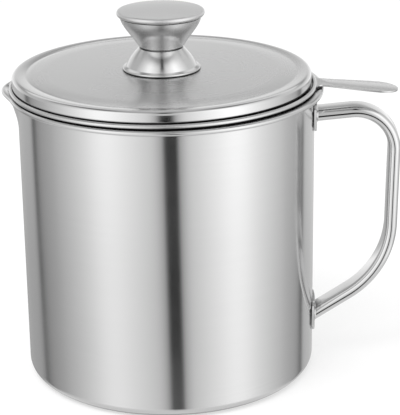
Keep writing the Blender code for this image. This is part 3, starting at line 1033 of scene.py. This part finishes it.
@dataclass
class Strainer:
    """Pressed flange with a rolled edge, a lifting tongue, a woven net and the band that holds it."""

    cup: Cup
    gap: float = 0.3 * MM
    shift: float = -1.2 * MM
    sheet: float = 0.6 * MM
    overlap: float = 2.0 * MM
    bead: float = 1.8 * MM
    rim_lip: float = 1.1 * MM
    bead_end: float = 150.0
    bead_steps: int = 20
    depth: float = 14 * MM
    bend: float = 1.2 * MM
    bend_steps: int = 6
    inner_bend_steps: int = 4
    fold: float = 0.3 * MM
    fold_steps: int = 3
    shelf_width: float = 5.2 * MM
    shelf_end_steps: int = 8
    tongue_length: float = 32.9 * MM
    tongue_width: float = 14.6 * MM
    tongue_root: float = 10 * MM
    tongue_fillet: float = 2.5 * MM
    tongue_thickness: float = 0.8 * MM
    tongue_edge: float = 0.22 * MM
    tongue_dip: float = math.radians(5.3)
    tongue_bearing: float = math.radians(0.6)
    tongue_widest_share: float = 0.77
    tongue_fillet_steps: int = 10
    tongue_side_steps: int = 24
    tongue_end_steps: int = 20
    tongue_edge_steps: int = 3
    sharp_turn: float = math.radians(60)
    net_depth: float = 22 * MM
    net_thickness: float = 0.5 * MM
    net_hem: float = 0.5 * MM
    net_hem_steps: int = 6
    net_sharp: float = 70
    wire_pitch: float = 2.0 * MM
    wire: float = 0.44 * MM
    wire_sides: int = 6
    wire_end: float = 1.2 * MM
    wire_touch: float = 0.01 * MM
    band_thickness: float = 0.8 * MM
    band_height: float = 4 * MM
    band_width: float = 3.6 * MM
    band_top_steps: int = 10
    band_bend_steps: int = 5
    band_end_steps: int = 8
    steps: int = 240

    @property
    def radius(self) -> float:
        """Outer radius of the rolled edge."""
        return self.cup.radius + self.overlap

    @property
    def seat(self) -> float:
        """Height of the rolled edge's underside."""
        return self.cup.height + self.gap

    @property
    def ledge(self) -> float:
        """Height of the ledge that the lid stands on."""
        return self.seat + self.bead - self.rim_lip

    @property
    def skirt(self) -> float:
        """Outer radius of the skirt."""
        return self.cup.bore + self.shift - self.gap

    @property
    def shelf(self) -> float:
        """Height of the shelf that the net lies on."""
        return self.seat - self.depth + self.sheet

    @property
    def brim(self) -> float:
        """Radius at which the net's bowl starts."""
        return self.skirt - self.shelf_width - self.gap

    def outline(self) -> Outline:
        """Section of the flange, skirt and shelf.

        Returns:
            Its points as (radius, height), closed on itself.
        """
        bead_round = self.bead / 2
        bead = (self.radius - bead_round, self.seat + bead_round)
        inner_edge = self.radius - self.bead
        bottom = self.shelf - self.sheet
        bore = self.skirt - self.sheet
        turn = self.bend
        tip = self.sheet / 2
        under = self.ledge - self.sheet
        fold = (self.skirt + self.fold, under - self.fold)
        end = (self.skirt - self.shelf_width + tip, self.shelf - tip)
        points = arc((self.skirt - turn, bottom + turn), turn, -90, 0, self.bend_steps)
        points += arc(fold, self.fold, 180, 90, self.fold_steps)
        points.append((inner_edge, under))
        points += arc(bead, bead_round, -self.bead_end, self.bead_end, self.bead_steps)
        points.append((inner_edge, self.ledge))
        points += arc((bore + turn, self.ledge - turn), turn, 90, 180, self.bend_steps)
        points += arc((bore - turn / 2, self.shelf + turn / 2), turn / 2, 0, -90, self.inner_bend_steps)
        points += arc(end, tip, 90, 270, self.shelf_end_steps)
        return points

    def half_width(self, place: float) -> float:
        """Half the tongue's width.

        Args:
            place: Distance from the tongue's root.

        Returns:
            Half the width there.
        """
        widest = self.tongue_length * self.tongue_widest_share
        if place < widest:
            growth = ease(place / widest) * (self.tongue_width - self.tongue_root) / 2
            half = self.tongue_root / 2 + growth
        else:
            past = (place - widest) / (self.tongue_length - widest)
            half = self.tongue_width / 2 * math.sqrt(max(1.0 - past**2, 0.0))
        if place < self.tongue_fillet:
            left = 1.0 - place / self.tongue_fillet
            half += self.tongue_fillet * (1.0 - math.sqrt(1.0 - left**2))
        return half

    def tongue_rim(self) -> Outline:
        """Outline of the flat tongue, from the middle of the rolled edge.

        Returns:
            Its points as (x, y).
        """
        root = self.bead / 2
        fillet = self.tongue_fillet
        widest = self.tongue_length * self.tongue_widest_share
        span = self.tongue_length - widest
        turns = spread(0.0, math.pi / 2, self.tongue_end_steps)[:-1]
        places = spread(0.0, fillet, self.tongue_fillet_steps)[:-1]
        places += spread(fillet, widest, self.tongue_side_steps)[:-1]
        places += [widest + span * math.sin(turn) for turn in turns]
        side = [(root + place, self.half_width(place)) for place in places]
        side.insert(0, (0.0, side[0][1]))
        return side + [(root + self.tongue_length, 0.0)] + [(x, -y) for x, y in reversed(side)]

    def tongue(self) -> bpy.types.Object:
        """Tongue with rounded edges, drawn flat and then dipped.

        Returns:
            The tongue at its place.
        """
        root = self.bead / 2
        builder = bmesh.new()
        face = builder.faces.new([builder.verts.new((x, y, 0.0)) for x, y in self.tongue_rim()])
        rise = bmesh.ops.extrude_face_region(builder, geom=[face])
        risen = [item for item in rise["geom"] if isinstance(item, bmesh.types.BMVert)]
        bmesh.ops.translate(builder, verts=risen, vec=(0.0, 0.0, self.tongue_thickness))
        bmesh.ops.recalc_face_normals(builder, faces=builder.faces)
        edges = [edge for edge in builder.edges if edge.calc_face_angle(0.0) > self.sharp_turn]
        edges = [edge for edge in edges if abs(edge.verts[0].co.z - edge.verts[1].co.z) < self.gap]
        rounding = {"offset": self.tongue_edge, "segments": self.tongue_edge_steps, "profile": 0.5}
        bmesh.ops.bevel(builder, geom=edges, affect="EDGES", **rounding)
        lift = Matrix.Translation((0.0, 0.0, self.seat + root - self.tongue_thickness / 2))
        place = lift @ Matrix.Rotation(self.tongue_bearing, 4, "Z")
        place = place @ Matrix.Translation((self.radius - root, 0.0, 0.0))
        builder.transform(place @ Matrix.Rotation(self.tongue_dip, 4, "Y"))
        bmesh.ops.translate(builder, verts=builder.verts, vec=(self.shift, 0.0, 0.0))
        return built("tongue", builder)

    def flange(self) -> None:
        """Make the flange with its tongue, as one sheet."""
        shape = Shape().turn(self.outline(), self.steps, closed=True)
        piece = Piece("strainer_pan", shape, SATIN, Body.STRAINER, ("strainer_frame",), self.shift)
        item = combined(bpy.data.objects.new(piece.name, piece.mesh()), self.tongue(), Join.ADD)
        piece.dress(item)

    def net_height(self, radius: float) -> float:
        """Height of the net's middle at a radius."""
        drop = self.net_depth * max(1.0 - (radius / self.brim) ** 2, 0.0)
        return self.shelf + self.gap - drop + self.net_thickness / 2

    def strand(self, shape: Shape, offset: float, across: bool, phase: int) -> None:
        """Add one wire of the net to a shape.

        Args:
            shape: Shape to add to.
            offset: Distance of the wire from the axis.
            across: True for a wire along Y, False for one along X.
            phase: 0 or 1, for which of the first crossings it passes over.
        """
        reach = self.brim + self.wire_end
        half = math.sqrt(reach**2 - offset**2)
        count = int(half / self.wire_pitch)
        lift = self.wire / 2 - self.wire_touch
        stops = [step * self.wire_pitch / 2 for step in range(-2 * count - 1, 2 * count + 2)]
        stops = [-half] + [stop for stop in stops if abs(stop) < half] + [half]
        loops = []
        for stop in stops:
            wave = math.sin(math.pi * (stop / self.wire_pitch + phase + 0.5))
            height = self.net_height(math.hypot(stop, offset)) + lift * wave
            ring = []
            for side in range(self.wire_sides):
                turn = math.tau * side / self.wire_sides
                beside = offset + self.wire / 2 * math.cos(turn)
                level = height + self.wire / 2 * math.sin(turn)
                ring.append((beside, stop, level) if across else (stop, beside, level))
            loops.append(shape.loop(ring))
        shape.chain(loops, capped=True)

    def net(self) -> None:
        """Make the woven net with the flat hem that is held under the band."""
        shape = Shape()
        count = int(self.brim / self.wire_pitch)
        for row in range(-count, count + 1):
            self.strand(shape, row * self.wire_pitch, True, row % 2)
            self.strand(shape, row * self.wire_pitch, False, (row + 1) % 2)
        low = self.shelf + self.gap
        high = low + self.net_thickness
        outer = self.skirt - self.sheet - self.gap
        inner = (self.brim + self.net_hem, (low + high) / 2)
        hem = arc(inner, self.net_thickness / 2, 90, 270, self.net_hem_steps)
        hem += [(outer, low), (outer, high)]
        shape.add(Shape().turn(hem, self.steps, closed=True))
        nodes = ("strainer_mesh",)
        Piece("woven_net", shape, WIRE, Body.STRAINER, nodes, self.shift, self.net_sharp).place()

    def band(self) -> None:
        """Make the band that holds the net's hem."""
        seat = self.shelf + self.gap + self.net_thickness + self.gap
        outer = self.skirt - self.sheet - self.gap
        top = seat + self.band_height
        thick = self.band_thickness
        inner = outer - self.band_width
        half = thick / 2
        points = [(outer, seat)]
        points += arc((outer - half, top - half), half, 0, 180, self.band_top_steps)
        points += arc((outer - 2 * thick, seat + 2 * thick), thick, 0, -90, self.band_bend_steps)
        points += arc((inner + half, seat + half), half, 90, 270, self.band_end_steps)
        shape = Shape().turn(points, self.steps, closed=True)
        Piece("net_band", shape, SATIN, Body.STRAINER, ("mesh_band",), self.shift).place()

    def build(self) -> None:
        """Make the strainer."""
        self.flange()
        self.net()
        self.band()


# The lid


@dataclass
class Lid:
    """Pressed lid: a domed panel, a crease, a narrow land and an edge that is turned down and under."""

    strainer: Strainer
    gap: float = 0.3 * MM
    shift: float = -1.6 * MM
    sheet: float = 0.5 * MM
    edge_height: float = 5.57 * MM
    edge_round: float = 1.7 * MM
    curl_round: float = 1.7 * MM
    skirt_flare: float = 0.114 * MM
    skirt_turn: float = 3.0
    curl_turn: float = -140.0
    land_width: float = 3.93 * MM
    crease_slope: float = 0.2
    panel_rise: float = 0.44 * MM
    dome: float = 0.35 * MM
    roll_off: float = 0.5 * MM
    roll_off_width: float = 8.6 * MM
    screw_hole: float = 2.3 * MM
    panel_steps: int = 24
    roll_off_steps: int = 16
    crease_steps: int = 12
    edge_steps: int = 24
    curl_steps: int = 32
    tip_steps: int = 8
    steps: int = 240

    @property
    def radius(self) -> float:
        """Outer radius of the edge."""
        return self.strainer.radius - self.strainer.bead

    @property
    def seat(self) -> float:
        """Height of the curl's underside."""
        return self.strainer.ledge + self.gap

    @property
    def edge(self) -> Pair:
        """Centre of the edge's rounding, as (radius, height)."""
        return (self.radius - self.edge_round, self.seat + self.edge_height - self.edge_round)

    @property
    def curl(self) -> Pair:
        """Centre of the curl's rounding, as (radius, height)."""
        return (self.radius + self.skirt_flare - self.curl_round, self.seat + self.curl_round)

    @property
    def panel_radius(self) -> float:
        """Radius of the crease round the panel."""
        return self.edge[0] - self.land_width

    @property
    def top(self) -> float:
        """Height of the panel's middle."""
        return self.seat + self.edge_height + self.panel_rise

    def height(self, radius: float) -> float:
        """Height of the panel at a radius."""
        roll = max(1.0 - (self.panel_radius - radius) / self.roll_off_width, 0.0)
        return self.top - self.dome * (radius / self.panel_radius) ** 2 - self.roll_off * roll**2

    def skin(self, inset: float) -> Outline:
        """Panel, crease, land and turned edge.

        Args:
            inset: Distance inside the outer skin.

        Returns:
            The skin's points as (radius, height), outward.
        """
        start = self.panel_radius - self.roll_off_width
        radii = spread(self.screw_hole, start, self.panel_steps)[:-1]
        radii += spread(start, self.panel_radius, self.roll_off_steps)
        panel = [(radius, self.height(radius)) for radius in radii]
        crest = (self.edge[0], self.edge[1] + self.edge_round)
        land = swept(panel[-1], crest, self.crease_slope, 0.0, self.crease_steps)[1:-1]
        points = [(radius, height - inset) for radius, height in panel + land]
        points += arc(self.edge, self.edge_round - inset, 90, self.skirt_turn, self.edge_steps)
        bend = self.curl_round - inset
        return points + arc(self.curl, bend, self.skirt_turn, self.curl_turn, self.curl_steps)

    def outline(self) -> Outline:
        """Section of the lid.

        Returns:
            Its points as (radius, height), closed on itself.
        """
        tip_round = self.sheet / 2
        tip = arc(self.curl, self.curl_round - tip_round, self.curl_turn, self.curl_turn, 1)[0]
        end = arc(tip, tip_round, self.curl_turn, self.curl_turn - 180, self.tip_steps)[1:-1]
        return self.skin(0.0) + end + self.skin(self.sheet)[::-1]

    def build(self) -> None:
        """Make the lid."""
        shape = Shape().turn(self.outline(), self.steps, closed=True)
        Piece("lid_pressing", shape, LID_STEEL, Body.LID, ("lid_shell",), self.shift).place()


@dataclass
class Knob:
    """Waisted hollow knob in three pieces, with the screw that holds it to the lid."""

    lid: Lid
    gap: float = 0.3 * MM
    sheet: float = 0.8 * MM
    slanted_share: float = 1.2
    foot_radius: float = 15.7 * MM
    foot_lip: float = 1.2 * MM
    foot_height: float = 9.0 * MM
    neck_radius: float = 9.1 * MM
    radius: float = 17.6 * MM
    cup_height: float = 11.9 * MM
    bulge_share: float = 0.09
    cap_round: float = 1.2 * MM
    cap_dome: float = 1.4 * MM
    plug_depth: float = 1.6 * MM
    screw_radius: float = 2.0 * MM
    head_radius: float = 3.8 * MM
    head_height: float = 1.6 * MM
    slot_width: float = 0.9 * MM
    slot_depth: float = 0.7 * MM
    washer_radius: float = 5.5 * MM
    washer_thickness: float = 0.8 * MM
    boss_height: float = 5.0 * MM
    contact: float = 0.05 * MM
    groove: float = 0.65 * MM
    cone_bulge: float = 0.5 * MM
    core: float = 7.6 * MM
    lip_steps: int = 14
    neck_turn: float = 45.0
    neck_steps: int = 6
    cone_steps: int = 16
    flare_steps: int = 24
    cap_turn: float = 84.0
    cap_edge_steps: int = 18
    cap_steps: int = 20
    washer_bevel: float = 0.15 * MM
    screw_bevel: float = 0.4 * MM
    head_steps: int = 10
    screw_steps: int = 72
    steps: int = 144

    @property
    def hole(self) -> float:
        """Radius of the holes for the screw."""
        return self.screw_radius + self.gap

    @property
    def seat(self) -> float:
        """Height of the foot's underside."""
        sag = self.lid.dome * (self.foot_radius / self.lid.panel_radius) ** 2
        return self.lid.top - sag + self.gap

    @property
    def cup_seat(self) -> float:
        """Height of the cup's underside."""
        return self.seat + self.foot_height + self.gap

    @property
    def cap_seat(self) -> float:
        """Height of the cap's underside."""
        return self.cup_seat + self.cup_height + self.gap

    @property
    def level_sheet(self) -> float:
        """Thickness of the slanted sides, measured level."""
        return self.sheet * self.slanted_share

    def piece(self, name: str, outline: Outline, finish: Steel, node: str, closed: bool) -> None:
        """Make a turned piece of the knob.

        Args:
            name: Name of the piece.
            outline: Its section as (radius, height).
            finish: Its finish.
            node: CAD node that it stands for.
            closed: True where the section closes on itself.
        """
        shape = Shape().turn(outline, self.steps, closed=closed)
        Piece(name, shape, finish, Body.LID, (node,), self.lid.shift).place()

    def foot(self) -> None:
        """Make the lower cone."""
        top = self.seat + self.foot_height
        bottom = self.seat - self.gap + self.contact
        lip_round = self.foot_lip / 2
        cone_start = self.foot_radius - self.foot_lip
        lip = (self.foot_radius - lip_round, bottom + lip_round)
        outline = [(self.foot_radius - self.sheet - lip_round, bottom)]
        outline += arc(lip, lip_round, -90, 90, self.lip_steps)
        shoulder = (self.neck_radius - self.sheet / 2, top - self.groove)
        neck = arc(shoulder, self.sheet / 2, self.neck_turn, 90, self.neck_steps)
        for share in spread(0.0, 1.0, self.cone_steps)[1:-1]:
            level = bottom + self.foot_lip + (neck[0][1] - bottom - self.foot_lip) * share
            reach = cone_start + (neck[0][0] - cone_start) * share
            outline.append((reach + self.cone_bulge * math.sin(math.pi * share), level))
        outline += neck
        outline += [(self.core, top - self.groove + self.sheet / 2), (self.core, top)]
        outline += [(self.hole, top), (self.hole, top - self.sheet)]
        outline.append((self.core, top - self.sheet - self.groove))
        outline.append((cone_start - self.level_sheet, self.seat + self.foot_lip))
        self.piece("knob_cone", outline, KNOB_STEEL, "knob_foot", True)

    def cup_radius(self, share: float) -> float:
        """Outer radius of the knob's cup.

        Args:
            share: Share of the cup's height.

        Returns:
            The radius there.
        """
        flare = self.radius - self.cap_round - self.neck_radius
        return self.neck_radius + flare * (share + self.bulge_share * math.sin(math.pi * share**2))

    def cup(self) -> None:
        """Make the upper, widening part."""
        foot_round = self.sheet / 2
        shares = spread(0.0, 1.0, self.flare_steps)[1:]
        outer = [(self.cup_radius(share), self.cup_seat + self.cup_height * share) for share in shares]
        inner = [(radius - self.level_sheet, height) for radius, height in reversed(outer)]
        floor = self.cup_seat + self.sheet
        corner = (self.neck_radius - foot_round, self.cup_seat + foot_round)
        outline = [(self.hole, self.cup_seat)]
        outline += arc(corner, foot_round, -90, 0, self.neck_steps) + outer + inner
        outline += [(self.neck_radius - self.level_sheet, floor), (self.hole, floor)]
        self.piece("knob_flare", outline, KNOB_STEEL, "knob_cup", True)

    def cap(self) -> None:
        """Make the domed top."""
        edge = (self.radius - self.cap_round, self.cap_seat + self.cap_round)
        brim = self.cap_seat + 2 * self.cap_round
        plug = self.radius - self.cap_round - self.level_sheet - self.gap - self.plug_depth
        bottom = self.cap_seat - self.plug_depth
        outline = [(0.0, bottom), (plug, bottom), (plug, self.cap_seat)]
        outline += arc(edge, self.cap_round, -90, self.cap_turn, self.cap_edge_steps)
        for share in reversed(spread(0.0, 1.0, self.cap_steps)[1:-1]):
            outline.append((edge[0] * share, brim + self.cap_dome * (1.0 - share**2)))
        outline.append((0.0, brim + self.cap_dome))
        self.piece("knob_button", outline, CAP_STEEL, "knob_cap", False)

    def washer(self) -> None:
        """Make the washer under the lid."""
        top = self.lid.top - self.lid.sheet - self.gap
        bottom = top - self.washer_thickness
        bevel = self.washer_bevel
        outline = [
            (self.hole, bottom),
            (self.washer_radius - bevel, bottom),
            (self.washer_radius, bottom + bevel),
            (self.washer_radius, top - bevel),
            (self.washer_radius - bevel, top),
            (self.hole, top),
        ]
        self.piece("under_washer", outline, PLATED, "lid_washer", True)

    def screw(self) -> None:
        """Make the slotted screw."""
        head_top = self.lid.top - self.lid.sheet - 2 * self.gap - self.washer_thickness
        bottom = head_top - self.head_height
        half = self.head_height / 2
        tip = self.cup_seat + self.sheet + self.boss_height
        bevel = self.screw_bevel
        outline: Outline = [(0.0, bottom)]
        outline += arc((self.head_radius - half, bottom + half), half, -90, 0, self.head_steps)
        outline += [(self.head_radius, head_top), (self.screw_radius, head_top)]
        outline += [(self.screw_radius, tip - bevel), (self.screw_radius - bevel, tip), (0.0, tip)]
        shape = Shape().turn(outline, self.screw_steps, closed=False)
        piece = Piece("slotted_screw", shape, PLATED, Body.LID, ("lid_screw",), self.lid.shift)
        builder = bmesh.new()
        bmesh.ops.create_cube(builder, size=1.0)
        size = (3 * self.head_radius, self.slot_width, 2 * self.slot_depth)
        bmesh.ops.scale(builder, verts=builder.verts, vec=size)
        bmesh.ops.translate(builder, verts=builder.verts, vec=(self.lid.shift, 0.0, bottom))
        item = bpy.data.objects.new(piece.name, piece.mesh())
        piece.dress(combined(item, built("slot", builder), Join.CUT))

    def boss(self, nodes: dict) -> None:
        """Give the threaded boss in the knob its plated finish.

        Args:
            nodes: CAD nodes of the frame by name.
        """
        nodes["knob_boss"].data.materials.clear()
        nodes["knob_boss"].data.materials.append(PLATED.material())

    def build(self, nodes: dict) -> None:
        """Make the knob and its fasteners.

        Args:
            nodes: CAD nodes of the frame by name.
        """
        self.foot()
        self.cup()
        self.cap()
        self.washer()
        self.screw()
        self.boss(nodes)


# The studio


@dataclass
class Studio:
    """Floor, light and camera.

    Two soft panels stand to the left and right of the camera with a dark gap between them, and a thin dark
    card stands behind either side of the pot.

    Attributes:
        camera_place: Place of the camera.
        camera_forward: Direction in which it looks.
        camera_up: Its upward direction.
        lens: Focal length in millimetres.
        sensor: Width of the sensor in millimetres.
        floor_half: Half the width of the floor.
        floor_drop: How far the floor lies below the base.
        floor_shade: Brightness of its paint.
        floor_glow: Strength of its glow, which only the camera sees.
        floor_glow_share: Share of the glow in what the camera sees.
        lamp_place: Place of the lamp that throws the shadow.
        lamp_aim: Point that it looks at.
        lamp_size: Width of its disk.
        lamp_energy: Its power in watts.
        axis: Bearing of the gap from the camera's side, in degrees.
        axis_height: Degrees below level under which the gap leans.
        axis_slope: Degrees that it leans for each degree further down.
        tilt: Share by which the brightness grows for each degree to the right.
        brightest: Brightness above every one listed.
        overhead: Brightness straight above.
        overhead_from: Degrees above level between which it begins.
        underfoot: Brightness straight below.
        underfoot_from: Degrees above level between which it ends.
        filling: Least brightness in the gap from just below level to half way up.
        filling_from: Degrees above level between which that begins.
        filling_to: Degrees above level between which it ends.
        back_from: Degrees from the gap's middle between which the front goes over to the back.
        back_above: Degrees above level between which that begins.
        around: Brightness by the degrees from the gap's middle.
        front_by_height: Share of it by the degrees above straight down.
        back_by_height: Brightness behind the pot by the degrees above straight down.
    """

    camera_place: Point = (0.03307, -0.63103, 0.29531)
    camera_forward: Point = (-0.0298, 0.9400, -0.3399)
    camera_up: Point = (0.0027, 0.3401, 0.9404)
    lens: float = 140.36
    sensor: float = 36.0
    floor_half: float = 3.0
    floor_drop: float = 0.05 * MM
    floor_shade: float = 0.9
    floor_glow: float = 1.1
    floor_glow_share: float = 0.55
    lamp_place: Point = (-0.3, -0.4, 1.0)
    lamp_aim: Point = (0.0, 0.0, 0.05)
    lamp_size: float = 0.6
    lamp_energy: float = 4.0
    axis: float = 2.3
    axis_height: float = 18.5
    axis_slope: float = 0.2
    tilt: float = 0.001
    brightest: float = 2.0
    overhead: float = 0.6
    overhead_from: Pair = (66.0, 78.0)
    underfoot: float = 0.8
    underfoot_from: Pair = (-44.0, -33.0)
    filling: float = 0.6
    filling_from: Pair = (-9.0, -3.0)
    filling_to: Pair = (36.0, 46.0)
    back_from: Pair = (118.0, 150.0)
    back_above: Pair = (-16.0, -6.0)
    around: Stops = (
        (0, 0.0),
        (4.0, 0.01),
        (5.4, 0.22),
        (7.0, 0.46),
        (10, 0.62),
        (13, 0.75),
        (16, 0.82),
        (20, 0.88),
        (25, 0.96),
        (30, 1.03),
        (36, 1.11),
        (42, 1.19),
        (48, 1.24),
        (54, 1.23),
        (60, 1.16),
        (66, 1.05),
        (72, 0.95),
        (80, 0.84),
        (88, 0.74),
        (95, 0.66),
        (102, 0.56),
        (114, 0.46),
        (120, 0.38),
        (125, 0.15),
        (127.5, 0.15),
        (130, 0.50),
        (135, 0.56),
        (180, 0.58),
    )
    front_by_height: Stops = (
        (50, 1.2),
        (60, 0.88),
        (68, 0.94),
        (71, 1.05),
        (74, 1.15),
        (134, 1.15),
        (142, 0.9),
        (150, 0.4),
    )
    back_by_height: Stops = (
        (72, 0.60),
        (84, 1.15),
        (94, 0.96),
        (104, 0.86),
        (108, 0.60),
        (111, 0.42),
        (116, 0.38),
        (118.5, 0.95),
        (135, 0.90),
        (145, 0.55),
    )

    def camera(self) -> None:
        """Make the camera."""
        forward = Vector(self.camera_forward).normalized()
        right = forward.cross(Vector(self.camera_up)).normalized()
        up = right.cross(forward)
        data = bpy.data.cameras.new("view")
        data.lens = self.lens
        data.sensor_width = self.sensor
        item = bpy.data.objects.new("view", data)
        bpy.context.scene.collection.objects.link(item)
        turn = Matrix((right, up, -forward)).transposed().to_4x4()
        item.matrix_world = Matrix.Translation(self.camera_place) @ turn
        bpy.context.scene.camera = item

    def floor(self) -> None:
        """Make the plain white floor, which keeps the soft shadow."""
        mesh = bpy.data.meshes.new("floor")
        half = self.floor_half
        spots = [(-half, -half, 0.0), (half, -half, 0.0), (half, half, 0.0), (-half, half, 0.0)]
        mesh.from_pydata(spots, [], [(0, 1, 2, 3)])
        item = bpy.data.objects.new("floor", mesh)
        bpy.context.scene.collection.objects.link(item)
        item.location.z = -self.floor_drop
        item.visible_glossy = False
        paint = bpy.data.materials.new("floor_paint")
        paint.use_nodes = True
        graph = Graph(paint.node_tree)
        matt = graph.node("ShaderNodeBsdfDiffuse", {}, {"Color": grey(self.floor_shade)})
        glow = graph.node("ShaderNodeEmission", {}, {"Color": grey(1.0), "Strength": self.floor_glow})
        seen = graph.node("ShaderNodeLightPath", {}, {}, "Is Camera Ray")
        inputs = {"Fac": seen * self.floor_glow_share, "Shader": matt, "Shader_001": glow}
        mixed = graph.node("ShaderNodeMixShader", {}, inputs)
        graph.node("ShaderNodeOutputMaterial", {}, {"Surface": mixed})
        mesh.materials.append(paint)

    def reflected(self, graph: Graph) -> Wire:
        """Brightness of the studio as polished metal sees it, by direction.

        Args:
            graph: The world's node tree.

        Returns:
            The brightness.
        """
        way = graph.node("ShaderNodeTexCoord", {}, {}, "Generated")
        split = {axis: graph.node("ShaderNodeSeparateXYZ", {}, {"Vector": way}, axis) for axis in "XYZ"}
        side = Vector(self.camera_place).xy.normalized()
        ahead = split["X"] * side.x + split["Y"] * side.y
        right = split["X"] * -side.y + split["Y"] * side.x
        height = graph.math("ARCSINE", split["Z"]) * (180 / math.pi)
        bearing = graph.math("ARCTAN2", right, ahead) * (180 / math.pi)
        axis = self.axis - (height + self.axis_height).smallest(0.0) * self.axis_slope
        turned = (bearing - axis).size()
        filled = height.step(*self.filling_from) * (1.0 - height.step(*self.filling_to))
        around = self.ramp(graph, turned, 180.0, self.around).largest(filled * self.filling)
        around = around * (bearing * self.tilt + 1.0)
        front = around * self.ramp(graph, height + 90.0, 180.0, self.front_by_height)
        back = self.ramp(graph, height + 90.0, 180.0, self.back_by_height)
        behind = turned.step(*self.back_from) * height.step(*self.back_above)
        level = front * (1.0 - behind) + back * behind
        over = height.step(*self.overhead_from)
        level = level * (1.0 - over) + over * self.overhead
        above = height.step(*self.underfoot_from)
        return level * above + (1.0 - above) * self.underfoot

    def ramp(self, graph: Graph, value: Wire, span: float, stops: Stops) -> Wire:
        """Brightness read from a list of places and values.

        Args:
            graph: The world's node tree.
            value: The place to look up.
            span: Place at which the list ends.
            stops: Places and brightnesses.

        Returns:
            The brightness.
        """
        scaled = [(place / span, brightness / self.brightest) for place, brightness in stops]
        found = graph.node("ShaderNodeValToRGB", {"stops": scaled}, {"Fac": value / span}, "Color")
        return found * self.brightest

    def light(self) -> None:
        """Make the world's light and the lamp that throws the floor's shadow."""
        world = bpy.data.worlds.new("studio")
        bpy.context.scene.world = world
        world.use_nodes = True
        graph = Graph(world.node_tree)
        plain = graph.node("ShaderNodeBackground", {}, {"Color": grey(1.0), "Strength": 1.0})
        inputs = {"Color": grey(1.0), "Strength": self.reflected(graph)}
        metal = graph.node("ShaderNodeBackground", {}, inputs)
        glossy = graph.node("ShaderNodeLightPath", {}, {}, "Is Glossy Ray")
        mixed = graph.node("ShaderNodeMixShader", {}, {"Fac": glossy, "Shader": plain, "Shader_001": metal})
        graph.node("ShaderNodeOutputWorld", {}, {"Surface": mixed})
        lamp = bpy.data.lights.new("key", "AREA")
        lamp.shape = "DISK"
        lamp.size = self.lamp_size
        lamp.energy = self.lamp_energy
        item = bpy.data.objects.new("key", lamp)
        bpy.context.scene.collection.objects.link(item)
        item.location = self.lamp_place
        aim = Vector(self.lamp_aim) - item.location
        item.rotation_euler = aim.to_track_quat("-Z", "Y").to_euler()
        item.visible_glossy = False

    def build(self) -> None:
        """Make the studio."""
        self.camera()
        self.floor()
        self.light()
        bpy.context.scene.view_settings.view_transform = "Standard"


def corners(box: tuple[Vector, Vector]) -> list[list[float]]:
    """Lowest and highest corner of a box as plain lists."""
    return [list(corner) for corner in box]


def main() -> None:
    """Load the frame and build every sub-assembly and the studio."""
    logging.basicConfig(level=logging.INFO, format="%(message)s")
    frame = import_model()
    cup = Cup()
    strainer = Strainer(cup)
    lid = Lid(strainer)
    knob = Knob(lid)
    cup.build()
    Handle(cup).build()
    strainer.build()
    lid.build()
    knob.build(frame["nodes"])
    Studio().build()


if __name__ == "__main__":
    main()
